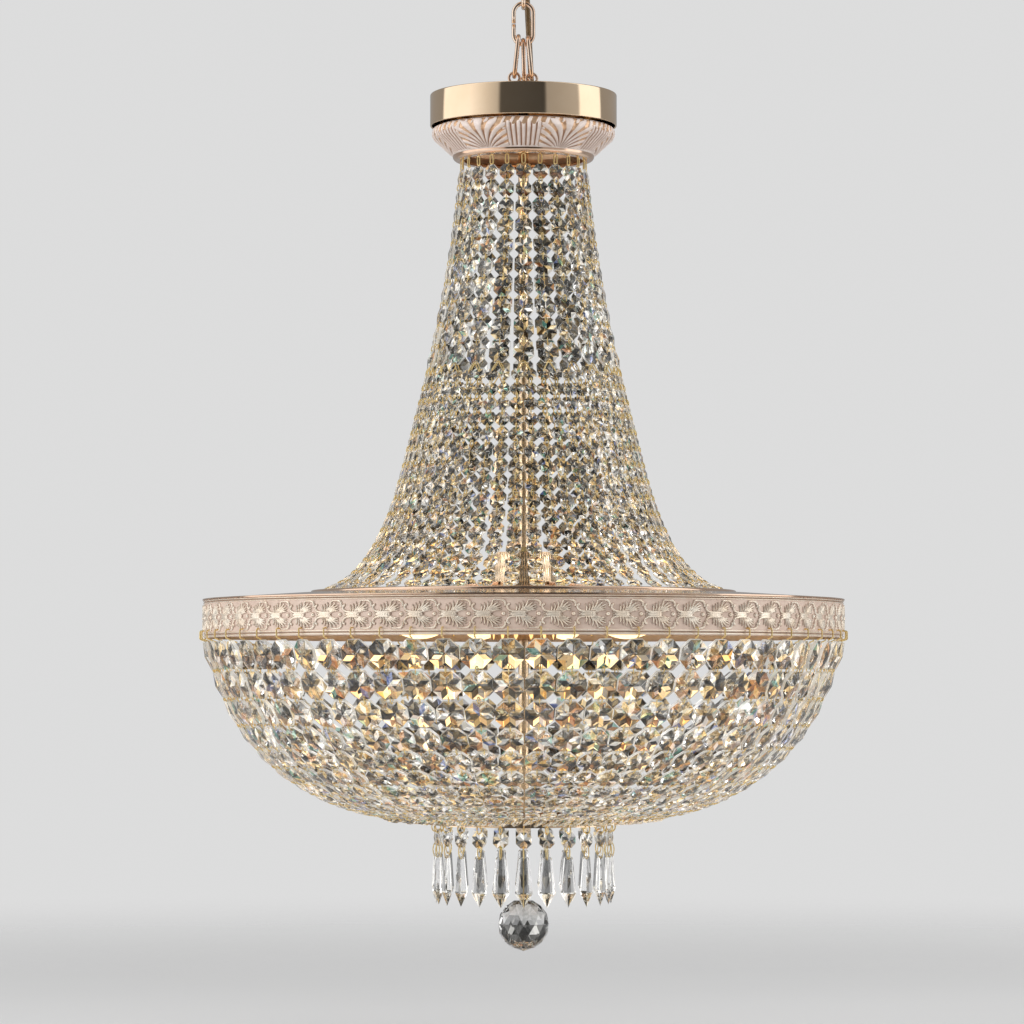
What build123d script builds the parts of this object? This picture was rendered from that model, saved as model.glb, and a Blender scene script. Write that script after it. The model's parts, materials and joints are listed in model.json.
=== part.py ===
from build123d import *
from math import atan2, cos, degrees, pi, radians, sin, sqrt
import os

os.makedirs("parts", exist_ok=True)

# Crystal chandelier, in millimetres. +Z is up and the origin is on the ceiling, at the middle
# of the bracket. Everything hangs below it on two chain links.

# ---- Driving dimensions ----
loose = 0.3  # play between wires that hook into each other
fit = 0.05  # radial play of a threaded or pushed joint
touch = 0.15  # what a wire end stops short of its bead or rim
slant_touch = 0.8  # the same for a wire that meets its bead at a slant

# Ceiling fitting
bracket_length = 110.0
bracket_width = 40.0
bracket_sheet = 2.0
bracket_rise = 12.0
bracket_middle = 56.0
bracket_hole_pitch = 88.0
bracket_hole = 5.2
canopy_diameter = 120.0
canopy_height = 56.0
canopy_wall = 1.2
canopy_round = 14.0
stem_diameter = 10.0
stem_below_ceiling = 4.0
stem_shows = 2.0
collar_diameter = 22.0
collar_height = 8.0
collar_edge = 1.5
loop_boss_diameter = 14.0
loop_boss_height = 12.0
loop_thread = 8.0
loop_ring_diameter = 27.0
loop_wire = 5.0
loop_sunk = 1.0
terminal_block_length = 26.0
terminal_block_depth = 12.0
terminal_block_height = 14.0
terminal_block_edge = 1.0
terminal_block_play = 0.5

# Nuts on the ceiling stem and on the central rod
nut_across_flats = 14.0
nut_height = 5.0

# Chain and the three short links on the cap
link_length = 43.0
link_width = 22.3
link_wire = 4.0
bridle_pitch = 4.3
bridle_shift = -0.3
eye_circle_radius = 9.5
eye_circle_start = 85.0
eye_ring_radius = 5.0
eye_wire = 2.6
eye_shank = 3.0
eye_shank_length = 8.0
eye_collar = 5.6

# Lead from the ceiling to the cap
cable_diameter = 5.4
cable_foot_x = 8.2
cable_head_x = 0.0
cable_y = 16.4
cable_in_cap = 9.0
cable_hole_play = 0.7
gland_diameter = 13.0
gland_neck = 10.0
gland_flange = 2.5
gland_length = 8.0

# Top cap, a flat drum
link_above_cap = 46.0
cap_radius = 86.4
cap_height = 30.0
cap_wall = 1.4
cap_boss_radius = 15.0
cap_boss_height = 12.0
cap_edge = 0.6
cap_over_rod = 2.0
cap_under_screws = 1.0

# Cast crown under the cap, and the polished lip that the bead strings hang from
crown_gap = 1.5
crown_radius = 86.2
crown_height = 26.5
crown_web = 3.0
crown_wall = 3.5
crown_bulge = 3.0
crown_bulge_middle = 5.5
crown_bulge_foot = 11.5
crown_cove = 24.0
crown_foot_radius = 66.5
lip_height = 4.5
lip_round = 4.0
lip_foot_radius = 63.0
lip_inner_radius = 56.0
lip_wall = 2.0

# Central rod and its fittings
rod_diameter = 9.8
rod_below_plate = 9.0
rod_collar_diameter = 14.0
rod_collar_height = 4.5
rod_collar_drop = 3.0

# Ring at the widest place: its band, the sloping cover on it and the flat arms inside
cap_above_ring = 478.0
ring_radius = 300.0
band_rise = 1.5
band_height = 35.0
band_wall = 2.5
cover_sheet = 1.2
cover_rise = 8.0
cover_inset = 0.5
hoop_radius = 197.0
hoop_wire = 4.0
arm_count = 6
arm_width = 14.0
arm_thickness = 3.0
arm_knee_radius = 190.0
arm_knee_height = 3.0
arm_root_height = 18.0
arm_foot_height = -5.0

# Hub on the rod, with the lamps around it
hub_radius = 31.0
hub_top = 47.0
hub_bottom = -35.0
hub_wall = 2.0
lamp_count = 8
lamp_height = -16.0
socket_radius = 13.0
socket_length = 45.0
socket_bore_depth = 24.0
lead_diameter = 2.4
bulb_base_radius = 7.0
bulb_base_length = 25.0
bulb_radius = 17.5
bulb_length = 76.0
bulb_belly = 0.4
bulb_nose = 0.1
bulb_wall = 0.9

# Octagon beads: thickness, rim and table as shares of a bead's width
bead_thickness = 0.34
bead_rim = 0.12
bead_table = 0.45
pin_wire = 1.2
side_gap = 0.6

# Tent of strings from the lip down to the ring's cover, each splitting into two
tent_count = 24
tent_hook_length = 10.0
tent_hook_width = 4.2
tent_hook_wire = 1.1
upper_bead_first = 14.0
upper_bead_last = 19.2
upper_bead_count = 10
upper_gap = 2.6
split_drop = 6.0
lower_bead = 13.6
lower_gap = 2.4

# Bowl of strings from the band in to the bottom plate
bowl_count = 66
bowl_hook_wire = 1.4
bowl_hook_height = -27.0
bowl_hook_under = 1.0
bowl_hook_short = 0.8
bowl_hook_out = 1.8
bowl_hook_in = 2.0
bowl_hook_end_inset = 2.8
bowl_hook_end_height = -37.0
bowl_bead = 26.5
bowl_bead_least = 12.0
bowl_gap = 2.5
bowl_shingle = 36.0

# Bottom plate, fringe and ball
plate_rim_height = -207.0
plate_rim_radius = 81.5
plate_rim_width = 2.0
plate_sheet = 1.0
plate_wall_radius = 75.0
plate_wall_top = -198.0
plate_hole = 4.4
fringe_count = 24
fringe_ring_radius = 4.2
fringe_ring_wire = 1.2
fringe_ring_drop = 2.5
fringe_bead = 14.5
fringe_hole_inset = 2.2
fringe_hole = 2.0
fringe_link_width = 7.0
fringe_link_wire = 1.0
fringe_link_reach = 12.7
drop_length = 46.5
drop_top_width = 9.0
drop_width = 16.0
drop_tip = 13.5
drop_thickness = 8.0
drop_hole_inset = 2.5
finial_radius = 7.0
finial_height = 11.0
finial_skirt = 3.0
finial_shoulder = 7.0
finial_foot_radius = 2.0
finial_eye_sunk = 0.6
finial_eye_radius = 3.0
finial_eye_wire = 1.2
ball_radius = 23.9
ball_drop = 93.0
ball_tip = 0.9
ball_flat = 1.0
ball_tip_share = 0.25
hanger_foot_radius = 3.5
hanger_foot_height = 1.5

# ---- Heights that follow from them, down from the ceiling ----
hook_play = loose + link_wire / 2
collar_bottom = -canopy_height - collar_height
boss_bottom = collar_bottom - stem_shows - loop_boss_height
loop_mean = (loop_ring_diameter - loop_wire) / 2
loop_centre = boss_bottom + loop_sunk - loop_ring_diameter / 2
loop_wire_height = loop_centre - loop_mean
bend = (link_width - link_wire) / 2
link_reach = link_length - link_wire
upper_link_top = loop_wire_height + loop_wire / 2 + hook_play
upper_link_wire = upper_link_top - link_reach
lower_link_top = upper_link_wire + link_wire / 2 + hook_play
lower_link_wire = lower_link_top - link_reach
cap_top = lower_link_wire - link_wire / 2 - link_above_cap
cap_bottom = cap_top - cap_height
crown_top = cap_bottom - crown_gap
crown_bottom = crown_top - crown_height
lip_bottom = crown_bottom - lip_height
ring_top = cap_top - cap_above_ring
band_top = ring_top + band_rise
band_bottom = band_top - band_height
plate_rim = ring_top + plate_rim_height
plate_bottom = plate_rim - plate_sheet / 2
plate_top = plate_rim + plate_sheet / 2
rod_top = cap_top - cap_wall - cap_over_rod
rod_bottom = plate_bottom - rod_below_plate
rod_radius = rod_diameter / 2
bead_slope = degrees(atan2(1 - bead_table, bead_thickness - bead_rim))


# ---- Shapes that repeat ----
def oval_link(length, width, wire):
    """A closed wire link in the XZ plane, its long axis along Z and its middle at the origin."""
    mean = (width - wire) / 2
    straight = length - width
    with BuildPart() as link:
        with BuildSketch(Plane.XY.offset(-straight / 2)):
            with Locations((-mean, 0), (mean, 0)):
                Circle(wire / 2)
        extrude(amount=straight)
        for end in (-1, 1):
            with BuildSketch(Plane.XY.offset(end * straight / 2)):
                with Locations((end * mean, 0)):
                    Circle(wire / 2)
            revolve(axis=Axis((0, 0, end * straight / 2), (0, -1, 0)), revolution_arc=180)
    return link.part


def wire_ring(radius, wire):
    """A wire ring in the XZ plane, centred on the origin."""
    with BuildPart() as ring:
        with BuildSketch(Plane.XY):
            with Locations((radius, 0)):
                Circle(wire / 2)
        revolve(axis=Axis.Y)
    return ring.part


def straight_wire(start, end, wire):
    """A round wire from one point to another."""
    start, end = Vector(*start), Vector(*end)
    with BuildPart() as piece:
        with BuildSketch(Plane(origin=start, z_dir=end - start)):
            Circle(wire / 2)
        extrude(amount=(end - start).length)
    return piece.part


def cut_wire(start, end, wire):
    """A thin drawn wire from one point to another, six-sided."""
    start, end = Vector(*start), Vector(*end)
    with BuildPart() as piece:
        with BuildSketch(Plane(origin=start, z_dir=end - start)):
            RegularPolygon(wire / 2, 6)
        extrude(amount=(end - start).length)
    return piece.part


def turned(points):
    """A solid turned about Z from a closed outline of (radius, height) points."""
    with BuildPart() as piece:
        with BuildSketch(Plane.XZ):
            with BuildLine():
                Polyline(*points, close=True)
            make_face()
        revolve(axis=Axis.Z)
    return piece.part


def hexagon_nut(bottom, height, bore):
    """A hexagon nut on the Z axis."""
    with BuildPart() as nut:
        with BuildSketch(Plane.XY.offset(bottom)):
            RegularPolygon(nut_across_flats / 2, 6, major_radius=False)
            Circle(bore, mode=Mode.SUBTRACT)
        extrude(amount=height)
    return nut.part


def octagon_bead(width):
    """A cut bead in the XZ plane: an octagon, flats up and down, that thins from the middle to its rim."""
    rim = bead_rim * width
    half = (bead_thickness * width - rim) / 2
    with BuildPart() as bead:
        with BuildSketch(Plane.XZ):
            RegularPolygon(width / 2, 8, major_radius=False, rotation=22.5)
        extrude(amount=rim / 2, both=True)
        for side in (-1, 1):
            with BuildSketch(Plane.XZ.offset(side * rim / 2)):
                RegularPolygon(width / 2, 8, major_radius=False, rotation=22.5)
            extrude(amount=side * half, taper=bead_slope)
    return bead.part


def around(pieces, count, start=0.0):
    """Every piece repeated round the Z axis, the copies sharing one shape."""
    turns = [Location((0, 0, 0), (0, 0, start + 360 * i / count)) for i in range(count)]
    return [piece.moved(turn) for piece in pieces for turn in turns]


def solids_of(*parts):
    """The separate solids of several parts, in one list."""
    return [solid for part in parts for solid in part.solids()]


def save(part, name):
    """Labels a sub-part and writes it to its own file."""
    part.label = name
    export_step(part, f"parts/{name}.step")


def save_group(solids, name):
    """Writes many separate solids as one sub-part."""
    save(Compound(children=solids), name)


# ---- Ceiling fitting ----
def ceiling_bracket():
    half, middle, low = bracket_length / 2, bracket_middle / 2, bracket_rise - bracket_sheet
    with BuildPart() as bracket:
        with BuildSketch(Plane.XZ):
            with BuildLine():
                Polyline(
                    (-half, 0),
                    (-middle, 0),
                    (-middle, -low),
                    (middle, -low),
                    (middle, 0),
                    (half, 0),
                    (half, -bracket_sheet),
                    (middle + bracket_sheet, -bracket_sheet),
                    (middle + bracket_sheet, -bracket_rise),
                    (-middle - bracket_sheet, -bracket_rise),
                    (-middle - bracket_sheet, -bracket_sheet),
                    (-half, -bracket_sheet),
                    close=True,
                )
            make_face()
        extrude(amount=bracket_width / 2, both=True)
        with BuildSketch(Plane.XY):
            with Locations((-bracket_hole_pitch / 2, 0), (bracket_hole_pitch / 2, 0)):
                Circle(bracket_hole / 2)
            Circle(stem_diameter / 2 + 2 * fit)
        extrude(amount=-bracket_rise, mode=Mode.SUBTRACT)
    return bracket.part


def terminal_block():
    near = nut_across_flats / sqrt(3) + terminal_block_play
    with BuildPart() as block:
        with BuildSketch(Plane.XY.offset(-bracket_rise)):
            with Locations((0, near + terminal_block_depth / 2)):
                Rectangle(terminal_block_length, terminal_block_depth)
        extrude(amount=-terminal_block_height)
        low_edges = block.faces().sort_by(Axis.Z)[0].edges()
        chamfer(low_edges, terminal_block_edge)
    return block.part


def ceiling_canopy():
    radius = canopy_diameter / 2
    with BuildPart() as canopy:
        with BuildSketch(Plane.XZ):
            with BuildLine():
                Line((0, 0), (radius, 0))
                Line((radius, 0), (radius, -canopy_height + canopy_round))
                RadiusArc(
                    (radius, -canopy_height + canopy_round),
                    (radius - canopy_round, -canopy_height),
                    canopy_round,
                )
                Line((radius - canopy_round, -canopy_height), (0, -canopy_height))
                Line((0, -canopy_height), (0, 0))
            make_face()
        revolve(axis=Axis.Z)
        offset(amount=-canopy_wall, openings=canopy.faces().sort_by(Axis.Z)[-1])
        with BuildSketch(Plane.XY.offset(-canopy_height)):
            Circle(stem_diameter / 2 + 2 * fit)
            with Locations((cable_x(-canopy_height), cable_y)):
                Circle(cable_diameter / 2 + cable_hole_play)
        extrude(amount=2 * canopy_wall, mode=Mode.SUBTRACT)
    return canopy.part


def ceiling_loop():
    boss_top = boss_bottom + loop_boss_height
    with BuildPart() as loop:
        with BuildSketch(Plane.XY.offset(boss_bottom)):
            Circle(loop_boss_diameter / 2)
        extrude(amount=loop_boss_height)
        with BuildSketch(Plane.XY.offset(boss_top)):
            Circle(stem_diameter / 2 + fit)
        extrude(amount=-loop_thread, mode=Mode.SUBTRACT)
        with Locations((0, 0, loop_centre)):
            add(wire_ring(loop_mean, loop_wire))
    return loop.part


def cable_x(height):
    """How far to the side the lead's centre is at a height: it leans a little on its way up."""
    climb = (height - cap_top) / (-canopy_height - cap_top)
    return cable_foot_x + (cable_head_x - cable_foot_x) * climb


cable_foot = cap_top - cable_in_cap
cable_head = -bracket_rise - terminal_block_height - touch

save(ceiling_bracket(), "ceiling_bracket")
save(terminal_block(), "terminal_block")
save(ceiling_canopy(), "ceiling_canopy")
save(ceiling_loop(), "ceiling_loop")
stem_bottom = boss_bottom + loop_boss_height - loop_thread
save(straight_wire((0, 0, stem_bottom), (0, 0, -stem_below_ceiling), stem_diameter), "ceiling_stem")
stem_bore = stem_diameter / 2 + fit
save_group(
    solids_of(
        hexagon_nut(bracket_sheet - bracket_rise, nut_height, stem_bore),
        hexagon_nut(-bracket_rise - nut_height, nut_height, stem_bore),
    ),
    "stem_nuts",
)
collar_outline = [
    (stem_bore, collar_bottom),
    (collar_diameter / 2 - collar_edge, collar_bottom),
    (collar_diameter / 2, collar_bottom + collar_edge),
    (collar_diameter / 2, -canopy_height),
    (stem_bore, -canopy_height),
]
save(turned(collar_outline), "canopy_collar")
cable_start = (cable_x(cable_foot), cable_y, cable_foot)
cable_end = (cable_x(cable_head), cable_y, cable_head)
save(straight_wire(cable_start, cable_end, cable_diameter), "power_cable")

# ---- Chain: the upper link stands edge-on, the lower one faces the front ----
link = oval_link(link_length, link_width, link_wire).solid()
upper_place = Location((0, 0, (upper_link_top + upper_link_wire) / 2), (0, 0, 90))
lower_place = Location((0, 0, (lower_link_top + lower_link_wire) / 2))
save_group([link.moved(upper_place)], "chain_link_upper")
save_group([link.moved(lower_place)], "chain_link_lower")


# ---- Three short links from the lower chain link to three eyes on the cap ----
def eye_point(number):
    """Where an eye stands on the cap: back, front left, front right."""
    angle = radians(eye_circle_start + 120 * number)
    return eye_circle_radius * cos(angle), eye_circle_radius * sin(angle)


def bridle_top(number):
    """The middle of a short link's top wire, inside the lower link's bottom bend."""
    x = bridle_shift + (0, -bridle_pitch, bridle_pitch)[number]
    within = bend - link_wire - loose
    return Vector(x, 0, lower_link_wire + bend - sqrt(within**2 - x**2))


def bridle_bottom(number):
    """The middle of a short link's bottom wire, straight above its eye."""
    top = bridle_top(number)
    x, y = eye_point(number)
    return Vector(x, y, top.Z - sqrt(link_reach**2 - (x - top.X) ** 2 - (y - top.Y) ** 2))


def bridle_link(number):
    """A short link, edge-on to the front, from its place in the chain to its eye."""
    top, bottom = bridle_top(number), bridle_bottom(number)
    along = top - bottom
    across = along.cross(Vector(0, 1, 0))
    plane = Plane(origin=(top + bottom) / 2, x_dir=across.cross(along), z_dir=along)
    return link.moved(plane.location)


def eye_screw(number):
    """An eye whose ring goes round the short link's bottom wire, screwed into the cap's boss."""
    x, y = eye_point(number)
    ring_centre = bridle_bottom(number).Z + hook_play + eye_wire / 2 - eye_ring_radius
    with BuildPart() as eye:
        with BuildSketch(Plane.XY.offset(cap_top - eye_shank_length)):
            with Locations((x, y)):
                Circle(eye_shank / 2)
        extrude(amount=eye_shank_length)
        with BuildSketch(Plane.XY.offset(cap_top)):
            with Locations((x, y)):
                Circle(eye_collar / 2)
        extrude(amount=ring_centre - eye_ring_radius - cap_top)
        with Locations((x, y, ring_centre)):
            add(wire_ring(eye_ring_radius, eye_wire))
    return eye.part


save_group([bridle_link(i) for i in range(3)], "bridle_links")
save_group(solids_of(*[eye_screw(i) for i in range(3)]), "eye_screws")


# ---- Cap, gland, crown and lip ----
def top_cap():
    with BuildPart() as cap:
        with BuildSketch(Plane.XZ):
            with BuildLine():
                Polyline(
                    (0, cap_top),
                    (cap_radius, cap_top),
                    (cap_radius, cap_bottom),
                    (cap_radius - cap_wall, cap_bottom),
                    (cap_radius - cap_wall, cap_top - cap_wall),
                    (cap_boss_radius, cap_top - cap_wall),
                    (cap_boss_radius, cap_top - cap_boss_height),
                    (0, cap_top - cap_boss_height),
                    close=True,
                )
            make_face()
        revolve(axis=Axis.Z)
        rim_edge = cap.faces().sort_by(Axis.Z)[-1].edges()
        fillet(rim_edge, cap_edge)
        with BuildSketch(Plane.XY.offset(cap_top)):
            with Locations(*[eye_point(i) for i in range(3)]):
                Circle(eye_shank / 2 + fit)
        extrude(amount=-eye_shank_length - cap_under_screws, mode=Mode.SUBTRACT)
        with BuildSketch(Plane.XY.offset(cap_top)):
            with Locations((cable_foot_x, cable_y)):
                Circle(gland_neck / 2 + fit)
        extrude(amount=-cap_boss_height, mode=Mode.SUBTRACT)
        with BuildSketch(Plane.XY.offset(cap_top - cap_boss_height)):
            Circle(rod_radius + fit)
        extrude(amount=rod_top - cap_top + cap_boss_height, mode=Mode.SUBTRACT)
    return cap.part


def cable_gland():
    bore = cable_diameter / 2 + cable_hole_play
    with BuildPart() as gland:
        for radius, start, length in (
            (gland_diameter / 2, cap_top, gland_flange),
            (gland_neck / 2, cap_top, -gland_length),
        ):
            with BuildSketch(Plane.XY.offset(start)):
                with Locations((cable_foot_x, cable_y)):
                    Circle(radius)
                    Circle(bore, mode=Mode.SUBTRACT)
            extrude(amount=length)
    return gland.part


def crown():
    """A flaring shell with a flat web to the rod."""
    web_low = crown_top - crown_web
    bore = rod_radius + fit
    top_radius = crown_radius - crown_bulge
    inside = crown_foot_radius - crown_wall
    with BuildPart() as casting:
        with BuildSketch(Plane.XZ):
            with BuildLine():
                Line((bore, crown_top), (top_radius, crown_top))
                ThreePointArc(
                    (top_radius, crown_top),
                    (crown_radius, crown_top - crown_bulge_middle),
                    (top_radius, crown_top - crown_bulge_foot),
                )
                RadiusArc(
                    (top_radius, crown_top - crown_bulge_foot),
                    (crown_foot_radius, crown_bottom),
                    -crown_cove,
                )
                Polyline(
                    (crown_foot_radius, crown_bottom),
                    (inside, crown_bottom),
                    (inside, web_low),
                    (bore, web_low),
                    (bore, crown_top),
                )
            make_face()
        revolve(axis=Axis.Z)
    return casting.part


def crown_lip():
    """A polished ring, rounded outside, with a flat foot that the tent's hooks hang from."""
    with BuildPart() as lip:
        with BuildSketch(Plane.XZ):
            with BuildLine():
                Line((crown_foot_radius - crown_wall, crown_bottom), (crown_foot_radius, crown_bottom))
                RadiusArc((crown_foot_radius, crown_bottom), (lip_foot_radius, lip_bottom), lip_round)
                Polyline(
                    (lip_foot_radius, lip_bottom),
                    (lip_inner_radius, lip_bottom),
                    (lip_inner_radius, lip_bottom + lip_wall),
                    (lip_foot_radius - lip_wall, lip_bottom + lip_wall),
                    (crown_foot_radius - crown_wall, crown_bottom),
                )
            make_face()
        revolve(axis=Axis.Z)
    return lip.part


save(top_cap(), "top_cap")
save(cable_gland(), "cable_gland")
save(crown(), "crown")
save(crown_lip(), "crown_lip")


# ---- Central rod with its nuts and collar ----
def rod_collar():
    """Two flanges with a groove between, under the lip."""
    top = lip_bottom - rod_collar_drop
    third = rod_collar_height / 3
    outer, bore = rod_collar_diameter / 2, rod_radius + fit
    groove = (outer + bore) / 2
    return turned(
        [
            (bore, top),
            (outer, top),
            (outer, top - third),
            (groove, top - third),
            (groove, top - 2 * third),
            (outer, top - 2 * third),
            (outer, top - 3 * third),
            (bore, top - 3 * third),
        ]
    )


save(straight_wire((0, 0, rod_bottom), (0, 0, rod_top), rod_diameter), "central_rod")
rod_bore = rod_radius + fit
hub_roof = ring_top + hub_top
save_group(
    solids_of(
        hexagon_nut(crown_top - crown_web - nut_height, nut_height, rod_bore),
        rod_collar(),
        hexagon_nut(hub_roof, nut_height, rod_bore),
        hexagon_nut(hub_roof - hub_wall - nut_height, nut_height, rod_bore),
        hexagon_nut(plate_top, nut_height, rod_bore),
    ),
    "rod_nuts",
)


# ---- Ring: band, cover and arms ----
def ring_band():
    with BuildPart() as band:
        with BuildSketch(Plane.XY.offset(band_bottom)):
            Circle(ring_radius)
            Circle(ring_radius - band_wall, mode=Mode.SUBTRACT)
        extrude(amount=band_height)
        with BuildPart(mode=Mode.PRIVATE) as drill:
            with BuildSketch(Plane.YZ.offset(ring_radius - 2 * band_wall)):
                with Locations((0, ring_top + bowl_hook_height)):
                    Circle(bowl_hook_wire / 2 + loose)
            extrude(amount=3 * band_wall)
        with PolarLocations(0, bowl_count):
            add(drill.part, mode=Mode.SUBTRACT)
    return band.part


def ring_cover():
    """A thin cone that rises inward from the band's top edge to a round hoop."""
    outer = ring_radius - cover_inset
    hoop_height = ring_top + cover_rise + cover_sheet
    with BuildPart() as cover:
        with BuildSketch(Plane.XZ):
            with BuildLine():
                Polyline(
                    (outer, band_top),
                    (outer, band_top + cover_sheet),
                    (hoop_radius, ring_top + cover_rise + cover_sheet),
                    (hoop_radius, ring_top + cover_rise),
                    (outer - band_wall, band_top),
                    close=True,
                )
            make_face()
            with Locations((hoop_radius, hoop_height)):
                Circle(hoop_wire / 2)
        revolve(axis=Axis.Z)
    return cover.part


def ring_arm():
    """One flat arm, from the hub out under the cover to the inside of the band."""
    root = hub_radius + touch
    foot = ring_radius - band_wall - touch
    half = arm_thickness / 2
    centre_line = [
        (root, ring_top + arm_root_height),
        (arm_knee_radius, ring_top + arm_knee_height),
        (foot, ring_top + arm_foot_height),
    ]
    with BuildPart() as arm:
        with BuildSketch(Plane.XZ):
            with BuildLine():
                Polyline(
                    *[(r, z + half) for r, z in centre_line],
                    *[(r, z - half) for r, z in reversed(centre_line)],
                    close=True,
                )
            make_face()
        extrude(amount=arm_width / 2, both=True)
    return arm.part


save(ring_band(), "ring_band")
save(ring_cover(), "ring_cover")
save_group(around(solids_of(ring_arm()), arm_count, 90), "ring_arms")


# ---- Hub and lamps ----
def hub():
    """A cup, open below, with a hole in its wall for each lamp's lead."""
    with BuildPart() as cup:
        with BuildSketch(Plane.XY.offset(ring_top + hub_bottom)):
            Circle(hub_radius)
        extrude(amount=hub_top - hub_bottom)
        with BuildSketch(Plane.XY.offset(ring_top + hub_bottom)):
            Circle(hub_radius - hub_wall)
        extrude(amount=hub_top - hub_bottom - hub_wall, mode=Mode.SUBTRACT)
        with BuildSketch(Plane.XY.offset(ring_top + hub_top)):
            Circle(rod_bore)
        extrude(amount=-hub_wall, mode=Mode.SUBTRACT)
        with BuildPart(mode=Mode.PRIVATE) as drill:
            with BuildSketch(Plane.YZ.offset(hub_radius - 2 * hub_wall)):
                with Locations((0, ring_top + lamp_height)):
                    Circle(lead_diameter / 2 + fit)
            extrude(amount=3 * hub_wall)
        with PolarLocations(0, lamp_count, start_angle=180 / lamp_count):
            add(drill.part, mode=Mode.SUBTRACT)
    return cup.part


def lamp_place(radius):
    """The plane across a lamp at a distance from the rod, looking outward along +X."""
    return Plane(origin=(radius, 0, ring_top + lamp_height), z_dir=(1, 0, 0))


socket_end = hub_radius + touch + socket_length


def lamp_socket():
    with BuildPart() as socket:
        with BuildSketch(lamp_place(hub_radius + touch)):
            Circle(socket_radius)
        extrude(amount=socket_length)
        with BuildSketch(lamp_place(socket_end)):
            Circle(bulb_base_radius + fit)
        extrude(amount=-socket_bore_depth, mode=Mode.SUBTRACT)
    return socket.part


def bulb_base():
    with BuildPart() as base:
        with BuildSketch(lamp_place(socket_end - socket_bore_depth)):
            Circle(bulb_base_radius)
        extrude(amount=bulb_base_length)
    return base.part


def bulb():
    """A thin glass candle shape on its base, lying along +X."""
    start = socket_end - socket_bore_depth + bulb_base_length
    axis_height = ring_top + lamp_height
    belly = start + bulb_belly * bulb_length
    nose = (start + bulb_length, axis_height + bulb_nose * bulb_radius)
    with BuildPart() as glass:
        with BuildSketch(Plane.XZ):
            with BuildLine():
                Line((start, axis_height), (start, axis_height + bulb_base_radius))
                Spline(
                    (start, axis_height + bulb_base_radius),
                    (belly, axis_height + bulb_radius),
                    nose,
                    tangents=[(1, 0.9), (1, -0.35)],
                )
                Polyline(
                    nose,
                    (start + bulb_length, axis_height),
                    (start, axis_height),
                )
            make_face()
        revolve(axis=Axis((0, 0, axis_height), (1, 0, 0)))
        offset(amount=-bulb_wall, openings=glass.faces().sort_by(Axis.X)[0])
    return glass.part


lead = straight_wire(
    (rod_radius + touch, 0, ring_top + lamp_height),
    (hub_radius, 0, ring_top + lamp_height),
    lead_diameter,
)
lamp_start = 180 / lamp_count
save(hub(), "hub")
save_group(around(solids_of(lamp_socket()), lamp_count, lamp_start), "lamp_sockets")
save_group(around(solids_of(bulb_base()), lamp_count, lamp_start), "bulb_bases")
save_group(around(solids_of(bulb()), lamp_count, lamp_start), "bulbs")
save_group(around(solids_of(lead), lamp_count, lamp_start), "lamp_leads")


# ---- Strings of beads ----
class String:
    """A string that hangs in the XZ plane along a curve of (radius, height) points."""

    def __init__(self, points):
        with BuildLine() as path:
            Spline(*[(r, 0, z) for r, z in points])
        self.line = path.edge()
        self.length = self.line.length
        self.beads = []

    def point(self, distance):
        return self.line.position_at(distance, position_mode=PositionMode.LENGTH)

    def down(self, distance):
        return self.line.tangent_at(distance, position_mode=PositionMode.LENGTH)

    def thread(self, distance, width):
        """Puts a bead on with its upper rim at a distance, and gives where its lower rim is."""
        self.beads.append((distance + width / 2, width))
        return distance + width

    def rim(self, number, side):
        """The point in the middle of a bead's upper (-1) or lower (+1) flat."""
        distance, width = self.beads[number]
        return self.point(distance) + self.down(distance) * (side * width / 2)

    def room(self, distance, count):
        """What a bead may measure across where count strings hang side by side."""
        return 2 * pi * self.point(distance).X / count - side_gap

    def bead_solid(self, number, shingle=0.0):
        """A bead in its place, turned about the string where its neighbours stand too close."""
        distance, width = self.beads[number]
        down = self.down(distance)
        outward = Vector(0, 1, 0).cross(down)
        plane = Plane(origin=self.point(distance), x_dir=outward.cross(down), z_dir=-down)
        turn = Location((0, 0, 0), (0, 0, shingle))
        return octagon_bead(width).solid().moved(plane.location * turn)

    def pin(self, number):
        """The wire between a bead and the next one."""
        upper, lower = self.rim(number, 1), self.rim(number + 1, -1)
        return self.tie(upper, lower)

    def tie(self, upper, lower, short=touch):
        """A wire between two points, stopping just short of both."""
        step = (lower - upper).normalized() * short
        return cut_wire(tuple(upper + step), tuple(lower - step), pin_wire)


# The tent's curve falls steeply from the lip and flattens on to the cover's hoop.
tent_curve = [
    ((lip_inner_radius + lip_foot_radius) / 2 - 0.5, lip_bottom - tent_hook_length - touch),
    (67.9, ring_top + 329.0),
    (84.3, ring_top + 239.0),
    (106.3, ring_top + 149.0),
    (135.8, ring_top + 59.5),
    (160.6, ring_top + 25.7),
    (hoop_radius - hoop_wire / 2 - touch, ring_top + cover_rise + 1.5),
]
tent = String(tent_curve)
tent_start = 0.0
at = touch
for i in range(upper_bead_count):
    share = i / (upper_bead_count - 1)
    at = tent.thread(at, upper_bead_first + (upper_bead_last - upper_bead_first) * share) + upper_gap
at += split_drop - upper_gap
lower_count = 2 * tent_count
first_lower = len(tent.beads)
while True:
    width = min(lower_bead, tent.room(at, lower_count))
    if at + width + lower_gap > tent.length:
        break
    at = tent.thread(at, width) + lower_gap
half_pitch = 360 / lower_count / 2


def spun(point, angle):
    """A point turned about Z by an angle in degrees."""
    return point.rotate(Axis.Z, angle)


upper_beads = [tent.bead_solid(i) for i in range(first_lower)]
lower_beads = [tent.bead_solid(i) for i in range(first_lower, len(tent.beads))]
save_group(around(upper_beads, tent_count, tent_start), "tent_upper_beads")
save_group(around(lower_beads, lower_count, tent_start + half_pitch), "tent_lower_beads")

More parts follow.
